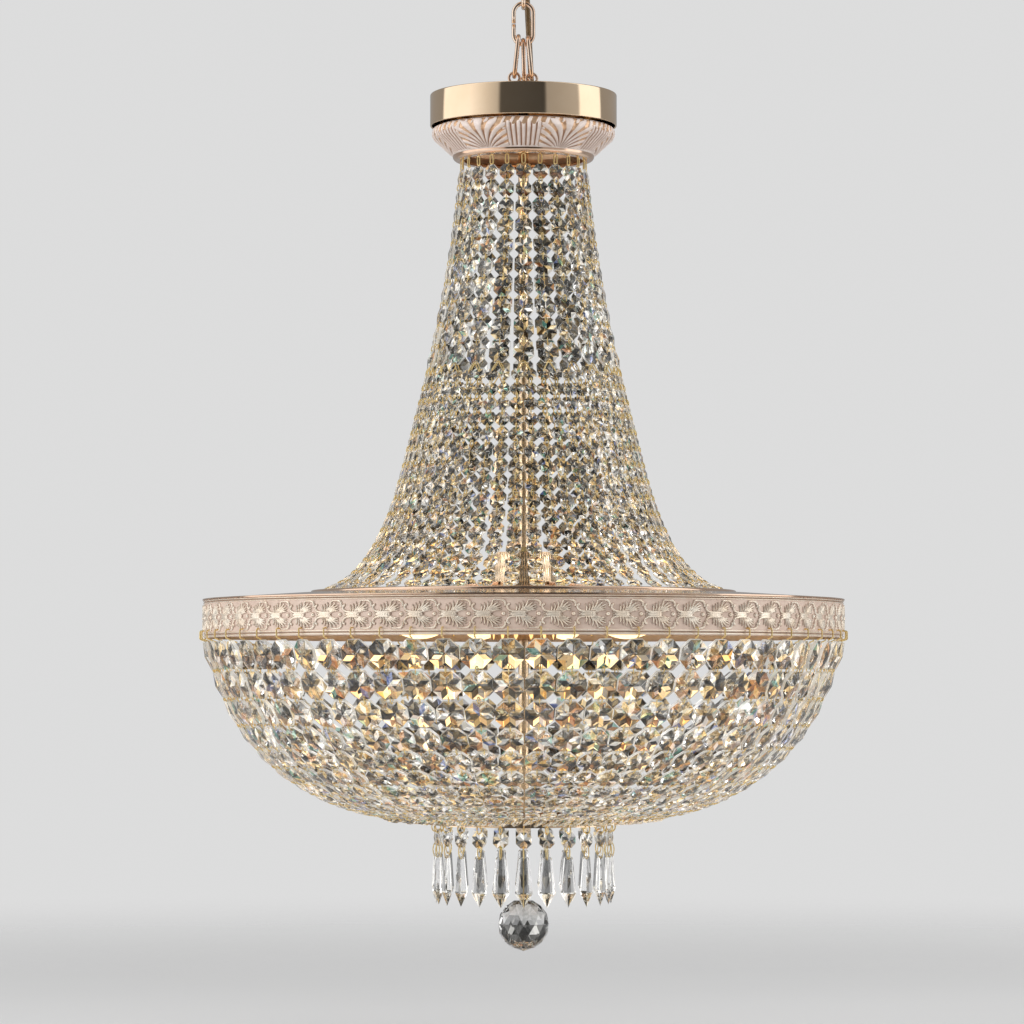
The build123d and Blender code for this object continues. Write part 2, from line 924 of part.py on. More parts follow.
hook_top = lip_bottom - touch
tent_hook = oval_link(tent_hook_length, tent_hook_width, tent_hook_wire).solid()
hook_place = Location((tent_curve[0][0], 0, hook_top - tent_hook_length / 2), (0, 0, 90))
save_group(around([tent_hook.moved(hook_place)], tent_count, tent_start), "tent_hooks")

upper_pins = solids_of(*[tent.pin(i) for i in range(first_lower - 1)])
split_top = tent.rim(first_lower - 1, 1)
split_foot = tent.rim(first_lower, -1)
split_pins = solids_of(
    *[
        tent.tie(
            split_top + Vector(0, side * pin_wire, 0), spun(split_foot, side * half_pitch), slant_touch
        )
        for side in (-1, 1)
    ]
)
lower_pins = solids_of(
    *[tent.pin(i) for i in range(first_lower, len(tent.beads) - 1)],
    tent.tie(tent.rim(-1, 1), tent.point(tent.length)),
)

# ---- Bowl ----
bowl_hook_end_radius = ring_radius - bowl_hook_end_inset
bowl_curve = [
    (bowl_hook_end_radius, ring_top + bowl_hook_end_height),
    (ring_radius - 16.0, ring_top - 75.0),
    (ring_radius - 38.0, ring_top - 118.0),
    (ring_radius - 80.0, ring_top - 162.0),
    (ring_radius - 130.0, ring_top - 189.0),
    (ring_radius - 180.0, ring_top - 200.0),
    (plate_wall_radius + touch, ring_top - 201.5),
]
bowl = String(bowl_curve)
shingles = []
at = touch
while True:
    width = bowl_bead
    for i in range(6):
        width = max(bowl_bead_least, min(bowl_bead, bowl.room(at + width, bowl_count)))
    beyond = bowl.point(min(at + width, bowl.length)).X
    if beyond < plate_rim_radius + plate_rim_width + fringe_ring_radius:
        break
    crowded = bowl.room(at + width, bowl_count) < width - 0.01
    shingles.append(bowl_shingle if crowded else 0.0)
    at = bowl.thread(at, width) + bowl_gap


def bowl_hook():
    """A wire from inside the band, out through its hole and down over its edge to the first bead."""
    inside = ring_radius - band_wall - bowl_hook_in
    outside = ring_radius + bowl_hook_out
    height = ring_top + bowl_hook_height
    end = (bowl_hook_end_radius, 0, ring_top + bowl_hook_end_height + bowl_hook_short)
    with BuildPart() as hook:
        with BuildLine():
            FilletPolyline(
                (inside, 0, height),
                (outside, 0, height),
                (outside, 0, band_bottom - bowl_hook_under),
                end,
                radius=bowl_hook_wire,
            )
        with BuildSketch(Plane(origin=(inside, 0, height), z_dir=(1, 0, 0))):
            Circle(bowl_hook_wire / 2)
        sweep()
    return hook.part


bowl_beads = [bowl.bead_solid(i, shingles[i]) for i in range(len(bowl.beads))]
save_group(around(bowl_beads, bowl_count), "bowl_beads")
save_group(around(solids_of(bowl_hook()), bowl_count), "bowl_hooks")
bowl_pins = solids_of(
    *[bowl.pin(i) for i in range(len(bowl.beads) - 1)],
    bowl.tie(bowl.rim(-1, 1), bowl.point(bowl.length)),
)
save_group(
    around(upper_pins, tent_count, tent_start)
    + around(split_pins, tent_count, tent_start)
    + around(lower_pins, lower_count, tent_start + half_pitch)
    + around(bowl_pins, bowl_count),
    "bead_pins",
)


# ---- Bottom plate, finial and ball ----
def bottom_plate():
    """A thin plate with a low wall that the bowl's strings end on, and a hole for each pendant."""
    edge = plate_rim_radius + plate_rim_width / 2
    hole_circle = plate_rim_radius - plate_rim_width / 2 - plate_hole / 2
    with BuildPart() as plate:
        with BuildSketch(Plane.XZ):
            with BuildLine():
                Polyline(
                    (rod_bore, plate_bottom),
                    (edge, plate_bottom),
                    (edge, plate_top),
                    (plate_wall_radius, plate_top),
                    (plate_wall_radius, ring_top + plate_wall_top),
                    (plate_wall_radius - plate_sheet, ring_top + plate_wall_top),
                    (plate_wall_radius - plate_sheet, plate_top),
                    (rod_bore, plate_top),
                    close=True,
                )
            make_face()
        revolve(axis=Axis.Z)
        with BuildSketch(Plane.XY.offset(plate_bottom)):
            with PolarLocations(hole_circle, fringe_count):
                Circle(plate_hole / 2)
        extrude(amount=plate_sheet, mode=Mode.SUBTRACT)
    return plate.part


finial_bottom = plate_bottom - finial_height
finial_eye = finial_bottom + finial_eye_sunk - finial_eye_radius - finial_eye_wire / 2


def bottom_finial():
    """A domed nut on the rod's end, with an eye under it."""
    with BuildPart() as finial:
        with BuildSketch(Plane.XZ):
            with BuildLine():
                skirt = (finial_radius, plate_bottom - finial_skirt)
                foot = (finial_foot_radius, finial_bottom)
                Polyline((0, plate_bottom), (finial_radius, plate_bottom), skirt)
                Spline(skirt, (0.8 * finial_radius, plate_bottom - finial_shoulder), foot)
                Polyline(foot, (0, finial_bottom), (0, plate_bottom))
            make_face()
        revolve(axis=Axis.Z)
        with BuildSketch(Plane.XY.offset(plate_bottom)):
            Circle(rod_bore)
        extrude(amount=-rod_below_plate, mode=Mode.SUBTRACT)
        with Locations((0, 0, finial_eye)):
            add(wire_ring(finial_eye_radius, finial_eye_wire))
    return finial.part


hanger_ring = finial_eye - finial_eye_radius + finial_eye_wire + loose - finial_eye_radius
ball_centre = ring_top + plate_rim_height - ball_drop
ball_top = ball_centre + ball_radius - ball_flat


def ball_hanger():
    """A wire with a ring round the finial's eye and a small foot on the ball's flat top."""
    with BuildPart() as hanger:
        with Locations(Location((0, 0, hanger_ring), (0, 0, 90))):
            add(wire_ring(finial_eye_radius, finial_eye_wire))
        with BuildSketch(Plane.XY.offset(ball_top)):
            Circle(finial_eye_wire / 2)
        extrude(amount=hanger_ring - finial_eye_radius - ball_top)
        with BuildSketch(Plane.XY.offset(ball_top)):
            Circle(hanger_foot_radius)
        extrude(amount=hanger_foot_height)
    return hanger.part


def crystal_ball():
    """A ball with a small flat on top and a short point below."""
    flat = sqrt(ball_radius**2 - (ball_top - ball_centre) ** 2)
    tip_start = ball_tip_share * ball_radius
    tip_height = ball_centre - sqrt(ball_radius**2 - tip_start**2)
    with BuildPart() as ball:
        with BuildSketch(Plane.XZ):
            with BuildLine():
                Line((0, ball_top), (flat, ball_top))
                ThreePointArc((flat, ball_top), (ball_radius, ball_centre), (tip_start, tip_height))
                Polyline((tip_start, tip_height), (0, ball_centre - ball_radius - ball_tip), (0, ball_top))
            make_face()
        revolve(axis=Axis.Z)
    return ball.part


save(bottom_plate(), "bottom_plate")
save(bottom_finial(), "bottom_finial")
save(ball_hanger(), "ball_hanger")
save(crystal_ball(), "crystal_ball")

# ---- Fringe of pendants, each a ring, a bead, a link and an icicle drop ----
fringe_ring_height = plate_rim - fringe_ring_drop
upper_hole = fringe_ring_height - fringe_ring_radius
fringe_bead_height = upper_hole + fringe_hole_inset - fringe_bead / 2
lower_hole = fringe_bead_height - fringe_bead / 2 + fringe_hole_inset
drop_hole = lower_hole - fringe_link_reach
drop_top = drop_hole + drop_hole_inset


def fringe_bead_solid():
    with BuildPart() as bead:
        with Locations(Location((plate_rim_radius, 0, fringe_bead_height), (0, 0, 90))):
            add(octagon_bead(fringe_bead))
        with BuildSketch(Plane.YZ):
            with Locations((0, upper_hole), (0, lower_hole)):
                Circle(fringe_hole / 2)
        extrude(amount=2 * plate_rim_radius, mode=Mode.SUBTRACT)
    return bead.part


def drop_section(height, width, thickness):
    """A flat hexagon across a drop, its points to the sides."""
    with BuildSketch(Plane.XY.offset(height)) as section:
        with Locations((plate_rim_radius, 0)):
            Polygon(
                (0, -width / 2),
                (thickness / 2, -width / 5),
                (thickness / 2, width / 5),
                (0, width / 2),
                (-thickness / 2, width / 5),
                (-thickness / 2, -width / 5),
                align=None,
            )
    return section.sketch


def icicle_drop():
    wide = drop_top - drop_length + drop_tip
    top_share = drop_top_width / drop_width
    top = drop_section(drop_top, drop_top_width, drop_thickness * top_share)
    middle = drop_section(wide, drop_width, drop_thickness)
    with BuildPart() as drop:
        loft(sections=[top, middle], ruled=True)
        loft(sections=[middle, Vertex(plate_rim_radius, 0, drop_top - drop_length)], ruled=True)
        with BuildSketch(Plane.YZ):
            with Locations((0, drop_hole)):
                Circle(fringe_hole / 2)
        extrude(amount=2 * plate_rim_radius, mode=Mode.SUBTRACT)
    return drop.part


fringe_ring = wire_ring(fringe_ring_radius, fringe_ring_wire).solid()
fringe_link = oval_link(fringe_link_reach + fringe_link_wire, fringe_link_width, fringe_link_wire).solid()
pendant = [
    fringe_ring.moved(Location((plate_rim_radius, 0, fringe_ring_height))),
    fringe_link.moved(Location((plate_rim_radius, 0, (lower_hole + drop_hole) / 2))),
    *solids_of(fringe_bead_solid(), icicle_drop()),
]
for i in range(fringe_count):
    turn = Location((0, 0, 0), (0, 0, 360 * i / fringe_count))
    save_group([piece.moved(turn) for piece in pendant], f"pendant_{i + 1:02d}")

print("ring top", ring_top, "ball tip", ball_centre - ball_radius - ball_tip)
print("tent rows", first_lower, "+", len(tent.beads) - first_lower, "bowl rows", len(bowl.beads))
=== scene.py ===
import json
from math import pi, radians

import bmesh
import bpy
import numpy as np
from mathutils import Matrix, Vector


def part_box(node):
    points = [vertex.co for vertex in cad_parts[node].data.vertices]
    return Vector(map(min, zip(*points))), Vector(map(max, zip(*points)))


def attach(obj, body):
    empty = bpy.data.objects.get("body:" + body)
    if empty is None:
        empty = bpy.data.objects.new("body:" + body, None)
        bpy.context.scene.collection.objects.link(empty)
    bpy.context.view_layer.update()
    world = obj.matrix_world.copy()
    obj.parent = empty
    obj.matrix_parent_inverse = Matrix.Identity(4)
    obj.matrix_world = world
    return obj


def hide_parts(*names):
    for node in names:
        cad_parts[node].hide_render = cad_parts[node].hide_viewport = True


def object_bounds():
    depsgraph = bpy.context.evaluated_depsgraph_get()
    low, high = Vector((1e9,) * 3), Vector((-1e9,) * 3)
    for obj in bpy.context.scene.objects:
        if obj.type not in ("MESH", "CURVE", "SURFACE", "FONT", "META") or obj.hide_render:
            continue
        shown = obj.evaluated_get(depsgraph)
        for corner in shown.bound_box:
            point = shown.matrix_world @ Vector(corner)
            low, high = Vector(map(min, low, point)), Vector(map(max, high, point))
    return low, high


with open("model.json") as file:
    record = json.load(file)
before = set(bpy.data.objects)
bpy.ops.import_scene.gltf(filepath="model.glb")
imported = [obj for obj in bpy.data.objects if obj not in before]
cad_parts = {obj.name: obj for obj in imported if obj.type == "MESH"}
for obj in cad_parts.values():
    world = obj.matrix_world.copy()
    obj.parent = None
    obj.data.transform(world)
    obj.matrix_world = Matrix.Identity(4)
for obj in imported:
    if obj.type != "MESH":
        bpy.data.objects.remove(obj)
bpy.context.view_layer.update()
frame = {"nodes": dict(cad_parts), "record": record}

# Crystal chandelier, in metres, in the frame of the solids: +Z up, the ceiling at zero, the
# photograph's camera towards -Y.

# ---- Named places, read from the solids or repeated from the part's own dimensions ----
band_rise = 0.0015
band_low, band_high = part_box("ring_band")
ring_top = band_high.z - band_rise
ring_radius = band_high.x
band_height = band_high.z - band_low.z
band_wall = 0.0025

# ---- Camera ----
photo_side = 1024
axis_pixel = 523.5
metres_per_pixel = 0.0009363
camera_distance = 3.586
eye_under_ring = 0.075
camera_pitch = radians(2.555)
sensor_width = 36.0


def put_object(name, data):
    thing = bpy.data.objects.new(name, data)
    bpy.context.scene.collection.objects.link(thing)
    return thing


def place_camera():
    """The photograph's camera: straight in front, a little under the ring, looking slightly up."""
    view = bpy.data.cameras.new("photo_camera")
    view.sensor_width = sensor_width
    view.lens = sensor_width * camera_distance / (metres_per_pixel * photo_side)
    view.clip_end = 100.0
    eye = put_object("photo_camera", view)
    aside = (axis_pixel - photo_side / 2) * metres_per_pixel
    eye.location = (-aside, -camera_distance, ring_top - eye_under_ring)
    eye.rotation_euler = (pi / 2 + camera_pitch, 0, 0)
    bpy.context.scene.camera = eye


place_camera()


# ---- Meshes from arrays ----
def put_mesh(name, points, faces, smooth, materials, numbers=None):
    """A mesh object from an array of points and a list of face arrays, one array per face size.

    numbers gives float attributes: name -> (domain, values)."""
    mesh = bpy.data.meshes.new(name)
    faces = [np.asarray(group, np.int32) for group in faces if len(group)]
    corners = np.concatenate([group.ravel() for group in faces])
    sizes = np.concatenate([np.full(len(group), group.shape[1], np.int32) for group in faces])
    mesh.vertices.add(len(points))
    mesh.vertices.foreach_set("co", np.asarray(points, np.float32).ravel())
    mesh.loops.add(len(corners))
    mesh.loops.foreach_set("vertex_index", corners)
    mesh.polygons.add(len(sizes))
    starts = np.concatenate([[0], np.cumsum(sizes)[:-1]]).astype(np.int32)
    mesh.polygons.foreach_set("loop_start", starts)
    mesh.polygons.foreach_set("loop_total", sizes)
    mesh.polygons.foreach_set("use_smooth", np.full(len(sizes), smooth))
    mesh.update(calc_edges=True)
    for key, (domain, values) in (numbers or {}).items():
        layer = mesh.attributes.new(key, "FLOAT", domain)
        layer.data.foreach_set("value", np.asarray(values, np.float32))
    for material in materials:
        mesh.materials.append(material)
    return put_object(name, mesh)


def grid_faces(rows, columns, wrap_rows=False, wrap_columns=False):
    """Quads of a grid of points numbered row by row; a wrapped side joins its last line to its first."""
    i, j = np.meshgrid(
        np.arange(rows if wrap_rows else rows - 1),
        np.arange(columns if wrap_columns else columns - 1),
        indexing="ij",
    )
    i2, j2 = (i + 1) % rows, (j + 1) % columns
    quad = [i * columns + j, i * columns + j2, i2 * columns + j2, i2 * columns + j]
    return np.stack(quad, axis=-1).reshape(-1, 4)


def copies(points, faces, frames, origins, scales):
    """One shape repeated: point = origin + scale * (local point through the copy's three axes)."""
    count, size = len(origins), len(points)
    moved = np.einsum("pk,nkx->npx", points, frames) * scales[:, None, None] + origins[:, None, :]
    step = (np.arange(count) * size)[:, None, None]
    return moved.reshape(-1, 3), [(group[None] + step).reshape(-1, group.shape[1]) for group in faces]


def unit(vectors):
    return vectors / np.linalg.norm(vectors, axis=-1, keepdims=True)


def stand_in(piece, body, slot, *nodes):
    """Rides a piece on its body and lets it stand for CAD nodes, which it hides; slot is not used."""
    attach(piece, body)
    if nodes:
        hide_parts(*nodes)
    return piece


# ---- Node tools ----
def new_material(name):
    material = bpy.data.materials.new(name)
    material.use_nodes = True
    tree = material.node_tree
    return material, tree, tree.nodes["Principled BSDF"]


def link(tree, start, end):
    tree.links.new(start, end)


def ramp_node(tree, stops, mode="LINEAR"):
    """A colour ramp from (position, (r, g, b)) stops."""
    node = tree.nodes.new("ShaderNodeValToRGB")
    node.color_ramp.interpolation = mode
    ramp = node.color_ramp
    while len(ramp.elements) < len(stops):
        ramp.elements.new(0.5)
    for element, (position, colour) in zip(ramp.elements, stops):
        element.position = position
        element.color = (*colour, 1.0)
    return node


def scaled_sum(tree, value, factor, rest):
    """value * factor + rest, the first and last as sockets."""
    node = tree.nodes.new("ShaderNodeMath")
    node.operation = "MULTIPLY_ADD"
    node.inputs[1].default_value = factor
    link(tree, value, node.inputs[0])
    link(tree, rest, node.inputs[2])
    return node.outputs[0]


def blend(tree, factor, first, second):
    """A mix of two colours; the second is a socket or a plain (r, g, b)."""
    node = tree.nodes.new("ShaderNodeMix")
    node.data_type = "RGBA"
    link(tree, factor, node.inputs["Factor"])
    link(tree, first, node.inputs["A"])
    if isinstance(second, tuple):
        node.inputs["B"].default_value = (*second, 1.0)
    else:
        link(tree, second, node.inputs["B"])
    return node.outputs["Result"]


def handling_marks():
    """Group: soft smudges and fine scratches of a polished surface.

    Smudge is slow noise, Scratch is noise stretched along Z, and Height is both, for a bump."""
    group = bpy.data.node_groups.new("handling_marks", "ShaderNodeTree")
    for name, default in (("Smudge Scale", 30.0), ("Scratch Scale", 400.0)):
        socket = group.interface.new_socket(name, in_out="INPUT", socket_type="NodeSocketFloat")
        socket.default_value = default
    for name in ("Smudge", "Scratch", "Height"):
        group.interface.new_socket(name, in_out="OUTPUT", socket_type="NodeSocketFloat")
    nodes, links = group.nodes, group.links
    ins, outs = nodes.new("NodeGroupInput"), nodes.new("NodeGroupOutput")
    place = nodes.new("ShaderNodeTexCoord")
    smudge = nodes.new("ShaderNodeTexNoise")
    smudge.inputs["Detail"].default_value = 3.0
    stretch = nodes.new("ShaderNodeMapping")
    stretch.inputs["Scale"].default_value = (1.0, 1.0, 0.06)
    scratch = nodes.new("ShaderNodeTexNoise")
    scratch.inputs["Detail"].default_value = 2.0
    links.new(place.outputs["Object"], smudge.inputs["Vector"])
    links.new(ins.outputs["Smudge Scale"], smudge.inputs["Scale"])
    links.new(place.outputs["Object"], stretch.inputs["Vector"])
    links.new(stretch.outputs["Vector"], scratch.inputs["Vector"])
    links.new(ins.outputs["Scratch Scale"], scratch.inputs["Scale"])
    both = scaled_sum(group, scratch.outputs["Fac"], scratch_share, smudge.outputs["Fac"])
    links.new(smudge.outputs["Fac"], outs.inputs["Smudge"])
    links.new(scratch.outputs["Fac"], outs.inputs["Scratch"])
    links.new(both, outs.inputs["Height"])
    return group


scratch_share = 0.25
marks_group = handling_marks()


def marks(tree, smudge_scale, scratch_scale):
    node = tree.nodes.new("ShaderNodeGroup")
    node.node_tree = marks_group
    node.inputs["Smudge Scale"].default_value = smudge_scale
    node.inputs["Scratch Scale"].default_value = scratch_scale
    return node


def spread(tree, source, low, high, low_in=0.3, high_in=0.7):
    """A mask spread from low to high."""
    node = tree.nodes.new("ShaderNodeMapRange")
    for key, value in (("From Min", low_in), ("From Max", high_in), ("To Min", low), ("To Max", high)):
        node.inputs[key].default_value = value
    link(tree, source, node.inputs["Value"])
    return node.outputs["Result"]


def bump(tree, shader, height, strength, distance):
    node = tree.nodes.new("ShaderNodeBump")
    node.inputs["Strength"].default_value = strength
    node.inputs["Distance"].default_value = distance
    link(tree, height, node.inputs["Height"])
    link(tree, node.outputs["Normal"], shader.inputs["Normal"])


def attribute(tree, name):
    node = tree.nodes.new("ShaderNodeAttribute")
    node.attribute_name = name
    return node.outputs["Fac"]


def metal(name, deep, bright, rough_low, rough_high, smudge_scale=25.0, scratch_scale=500.0, wave=0.08):
    """Polished metal: the colour drifts between two tones and the gloss with the smudges."""
    material, tree, shader = new_material(name)
    shader.inputs["Metallic"].default_value = 1.0
    mark = marks(tree, smudge_scale, scratch_scale)
    tone = ramp_node(tree, [(0.35, deep), (0.65, bright)])
    link(tree, mark.outputs["Smudge"], tone.inputs["Fac"])
    link(tree, tone.outputs["Color"], shader.inputs["Base Color"])
    link(tree, spread(tree, mark.outputs["Scratch"], rough_low, rough_high), shader.inputs["Roughness"])
    bump(tree, shader, mark.outputs["Height"], wave, 0.0004)
    return material


def paint(name, deep, bright, roughness, scale, metallic=0.0, grain=0.1):
    """Paint, plastic or ceramic: two tones in slow noise and a fine grain."""
    material, tree, shader = new_material(name)
    shader.inputs["Metallic"].default_value = metallic
    mark = marks(tree, scale, 900.0)
    tone = ramp_node(tree, [(0.35, deep), (0.65, bright)])
    link(tree, mark.outputs["Smudge"], tone.inputs["Fac"])
    link(tree, tone.outputs["Color"], shader.inputs["Base Color"])
    rough = spread(tree, mark.outputs["Scratch"], roughness - 0.06, roughness + 0.08)
    link(tree, rough, shader.inputs["Roughness"])
    bump(tree, shader, mark.outputs["Scratch"], grain, 0.0003)
    return material


champagne = metal("champagne_gold", (0.88, 0.67, 0.46), (0.93, 0.73, 0.52), 0.04, 0.09, wave=0.008)
rose_gold = metal("rose_gold", (0.84, 0.58, 0.42), (0.92, 0.68, 0.51), 0.08, 0.16, wave=0.05)
yellow_gold = metal("yellow_gold_wire", (0.90, 0.66, 0.28), (0.98, 0.80, 0.42), 0.22, 0.38, 60.0)
chain_gold = metal("chain_gold", (0.84, 0.60, 0.45), (0.95, 0.77, 0.62), 0.10, 0.18, 60.0, wave=0.01)
steel = metal("zinc_steel", (0.50, 0.50, 0.49), (0.66, 0.66, 0.65), 0.3, 0.45, 80.0)
lamp_metal = metal("lamp_base_metal", (0.62, 0.60, 0.56), (0.78, 0.76, 0.71), 0.25, 0.4, 80.0)
socket_white = paint("socket_ceramic", (0.70, 0.66, 0.57), (0.80, 0.76, 0.68), 0.45, 60.0)
terminal_white = paint("terminal_plastic", (0.74, 0.74, 0.71), (0.84, 0.84, 0.81), 0.4, 90.0)
lead_brown = paint("lead_sheath", (0.11, 0.065, 0.025), (0.19, 0.12, 0.055), 0.22, 120.0)


wear_share = 0.35


def gilded_paint(name, paint_deep, paint_bright, gold_deep, gold_bright, groove):
    """Cast metal with a pale wash: raised parts are gold, the ground is paint, and the feet of the ridges
    carry painted shade.

    It reads two attributes of its piece: raised, from ground to ridge, and a mask of painted shade at a
    ridge's foot and in grooves."""
    material, tree, shader = new_material(name)
    mark = marks(tree, 90.0, 700.0)
    ground = ramp_node(tree, [(0.3, paint_deep), (0.7, paint_bright)])
    gold = ramp_node(tree, [(0.3, gold_deep), (0.7, gold_bright)])
    link(tree, mark.outputs["Smudge"], ground.inputs["Fac"])
    link(tree, mark.outputs["Smudge"], gold.inputs["Fac"])
    worn = scaled_sum(tree, mark.outputs["Scratch"], wear_share, attribute(tree, "raised"))
    gilt = spread(tree, worn, 0.0, 1.0, 0.50, 0.85)
    tone = blend(tree, gilt, ground.outputs["Color"], gold.outputs["Color"])
    # painted shade: the mask at the ridges' feet darkens the tone towards groove
    tone = blend(tree, attribute(tree, "seam_shade"), tone, groove)
    link(tree, tone, shader.inputs["Base Color"])
    link(tree, spread(tree, gilt, 0.0, 0.6, 0.0, 1.0), shader.inputs["Metallic"])
    link(tree, spread(tree, gilt, 0.42, 0.22, 0.0, 1.0), shader.inputs["Roughness"])
    bump(tree, shader, mark.outputs["Scratch"], 0.12, 0.0003)
    return material


# the last colour is the painted shade at the ridges' feet and in the grooves
band_finish = gilded_paint(
    "ornament_wash",
    (0.58, 0.44, 0.36),
    (0.68, 0.54, 0.45),
    (0.94, 0.78, 0.61),
    (1.0, 0.91, 0.78),
    (0.22, 0.12, 0.065),
)
# the last colour is the painted shade in the carved hollows
crown_finish = gilded_paint(
    "crown_wash",
    (0.66, 0.55, 0.49),
    (0.80, 0.70, 0.65),
    (0.72, 0.44, 0.26),
    (0.84, 0.58, 0.38),
    (0.27, 0.12, 0.05),
)


painted_facet_tones = [
    # a facet's number from here up to the next line's; the glass's painted tone, a painted reflection of what
    # the facet shows inside; its painted glint, given off as light
    (0.00, (1.0, 1.0, 1.0), (0.0, 0.0, 0.0)),
    (0.38, (0.74, 0.74, 0.73), (0.0, 0.0, 0.0)),
    (0.50, (0.26, 0.26, 0.26), (0.0, 0.0, 0.0)),
    (0.60, (0.06, 0.06, 0.06), (0.0, 0.0, 0.0)),
    (0.70, (1.0, 0.93, 0.78), (0.05, 0.04, 0.02)),
    (0.79, (0.94, 0.74, 0.42), (0.06, 0.035, 0.01)),
    (0.87, (0.56, 0.34, 0.13), (0.02, 0.01, 0.003)),
    (0.90, (1.0, 1.0, 1.0), (0.80, 0.78, 0.73)),
    (0.945, (1.0, 0.85, 0.55), (0.70, 0.48, 0.19)),
    (0.965, (0.45, 0.74, 0.68), (0.03, 0.17, 0.13)),
    (0.977, (0.42, 0.50, 0.86), (0.04, 0.08, 0.24)),
    (0.988, (0.86, 0.50, 0.30), (0.28, 0.11, 0.04)),
]


# rim_glow is a painted highlight: the faint light the frosted rim gives off
rim_glow = (0.17, 0.165, 0.15)
rim_frost = 0.35
glass_index = 1.54


def crystal(name, glint):
    """Cut glass. Each facet has a number: most are clear; some get a painted grey, dark, amber or rainbow
    tone, a painted reflection that stands for what facets of lead crystal reflect inside; and a few
    get a painted glint that gives off light. The ground rim, where the attribute rim is 1, is frosted
    and gets a faint painted highlight that gives off light."""
    material, tree, shader = new_material(name)
    shader.inputs["Transmission Weight"].default_value = 1.0
    shader.inputs["IOR"].default_value = glass_index
    shader.inputs["Metallic"].default_value = 0.0
    facet = attribute(tree, "facet")
    # tone: painted reflection, the facet's number picks a grey, dark, amber or rainbow tint for the glass
    tone = ramp_node(tree, [(place, colour) for place, colour, _ in painted_facet_tones], "CONSTANT")
    # shine: painted glint, the facet's number picks the light a facet gives off
    shine = ramp_node(tree, [(place, colour) for place, _, colour in painted_facet_tones], "CONSTANT")
    link(tree, facet, tone.inputs["Fac"])
    link(tree, facet, shine.inputs["Fac"])
    link(tree, tone.outputs["Color"], shader.inputs["Base Color"])
    rim = attribute(tree, "rim")
    # painted highlight on the rim and painted glints on the facets, given off as light
    glow = blend(tree, rim, shine.outputs["Color"], rim_glow)
    link(tree, glow, shader.inputs["Emission Color"])
    shader.inputs["Emission Strength"].default_value = glint
    mark = marks(tree, 200.0, 900.0)
    frost = scaled_sum(tree, rim, rim_frost, spread(tree, mark.outputs["Smudge"], 0.0, 0.03))
    link(tree, frost, shader.inputs["Roughness"])
    return material


bead_glass = crystal("bead_crystal", 0.55)
drop_glass = crystal("drop_crystal", 0.4)


def lit_glass():
    """Warm frosted lamp glass that shines, its warm tone drifting in slow noise."""
    material, tree, shader = new_material("lit_lamp_glass")
    mark = marks(tree, 60.0, 400.0)
    tone = ramp_node(tree, [(0.3, (1.0, 0.66, 0.30)), (0.7, (1.0, 0.78, 0.44))])
    link(tree, mark.outputs["Smudge"], tone.inputs["Fac"])
    link(tree, tone.outputs["Color"], shader.inputs["Base Color"])
    link(tree, tone.outputs["Color"], shader.inputs["Emission Color"])
    shader.inputs["Emission Strength"].default_value = 1.9
    link(tree, spread(tree, mark.outputs["Scratch"], 0.2, 0.35), shader.inputs["Roughness"])
    return material


lamp_glow = lit_glass()

finish_of_slot = {
    "steel": steel,
    "polished_gold": champagne,
    "gold_wire": yellow_gold,
    "painted_ornament": band_finish,
    "painted_crown": crown_finish,
    "crystal": drop_glass,
    "lamp_glass": lamp_glow,
    "lamp_metal": lamp_metal,
    "socket": socket_white,
    "lead": lead_brown,
    "terminal": terminal_white,
}
finish_of_node = {
    "crown_lip": rose_gold,
    "ring_cover": rose_gold,
    "ring_arms": rose_gold,
    "chain_link_upper": chain_gold,
    "chain_link_lower": chain_gold,
    "bridle_links": chain_gold,
    "eye_screws": chain_gold,
    "rod_nuts": yellow_gold,
}
for row in frame["record"]["subparts"]:
    finish = finish_of_node.get(row["node"], finish_of_slot[row["material_slot"]])
    mesh = frame["nodes"][row["node"]].data
    mesh.materials.clear()
    mesh.materials.append(finish)


# ---- Octagon beads ----
bead_depth = 0.34
bead_edge = 0.12
star_radius = 0.30
octagon_corner = 0.5 / np.cos(pi / 8)


def bead_shape():
    """A cut octagon bead, one across its flats: on each side eight kites from a point in the middle
    out to the corners, eight triangles between them, and a rim of eight flats.

    Axes are across the bead, through it, and up the string."""
    turn = np.arange(8) * pi / 4
    corner = turn + pi / 8
    slope = star_radius * np.cos(pi / 8) / octagon_corner
    star_depth = bead_depth / 2 - (bead_depth - bead_edge) / 2 * slope
    points, faces = [], {3: [], 4: []}
    for side in (1, -1):
        start = len(points)
        points.append((0, side * bead_depth / 2, 0))
        points += [(star_radius * np.cos(a), side * star_depth, star_radius * np.sin(a)) for a in turn]
        points += [
            (octagon_corner * np.cos(a), side * bead_edge / 2, octagon_corner * np.sin(a)) for a in corner
        ]
        for i in range(8):
            k = (i + 1) % 8
            kite = (start, start + 1 + i, start + 9 + i, start + 1 + k)
            flat = (start + 1 + k, start + 9 + i, start + 9 + k)
            faces[4].append(kite[::side])
            faces[3].append(flat[::side])
    for i in range(8):
        k = (i + 1) % 8
        faces[4].append((9 + i, 9 + k, 17 + 9 + k, 17 + 9 + i)[::-1])
    return np.array(points), [np.array(faces[4]), np.array(faces[3])]


bead_points, bead_faces = bead_shape()
chance = np.random.default_rng(7)


def outward_faces(points, faces):
    """The faces with their corners in the order that makes them point away from the shape's middle."""
    turned = []
    for group in faces:
        a, b, c = (points[group[:, i]] for i in range(3))
        middle = points[group].mean(axis=1)
        inward = (np.cross(b - a, c - a) * middle).sum(-1) < 0
        group = group.copy()
        group[inward] = group[inward][:, ::-1]
        turned.append(group)
    return turned


bead_faces = outward_faces(bead_points, bead_faces)


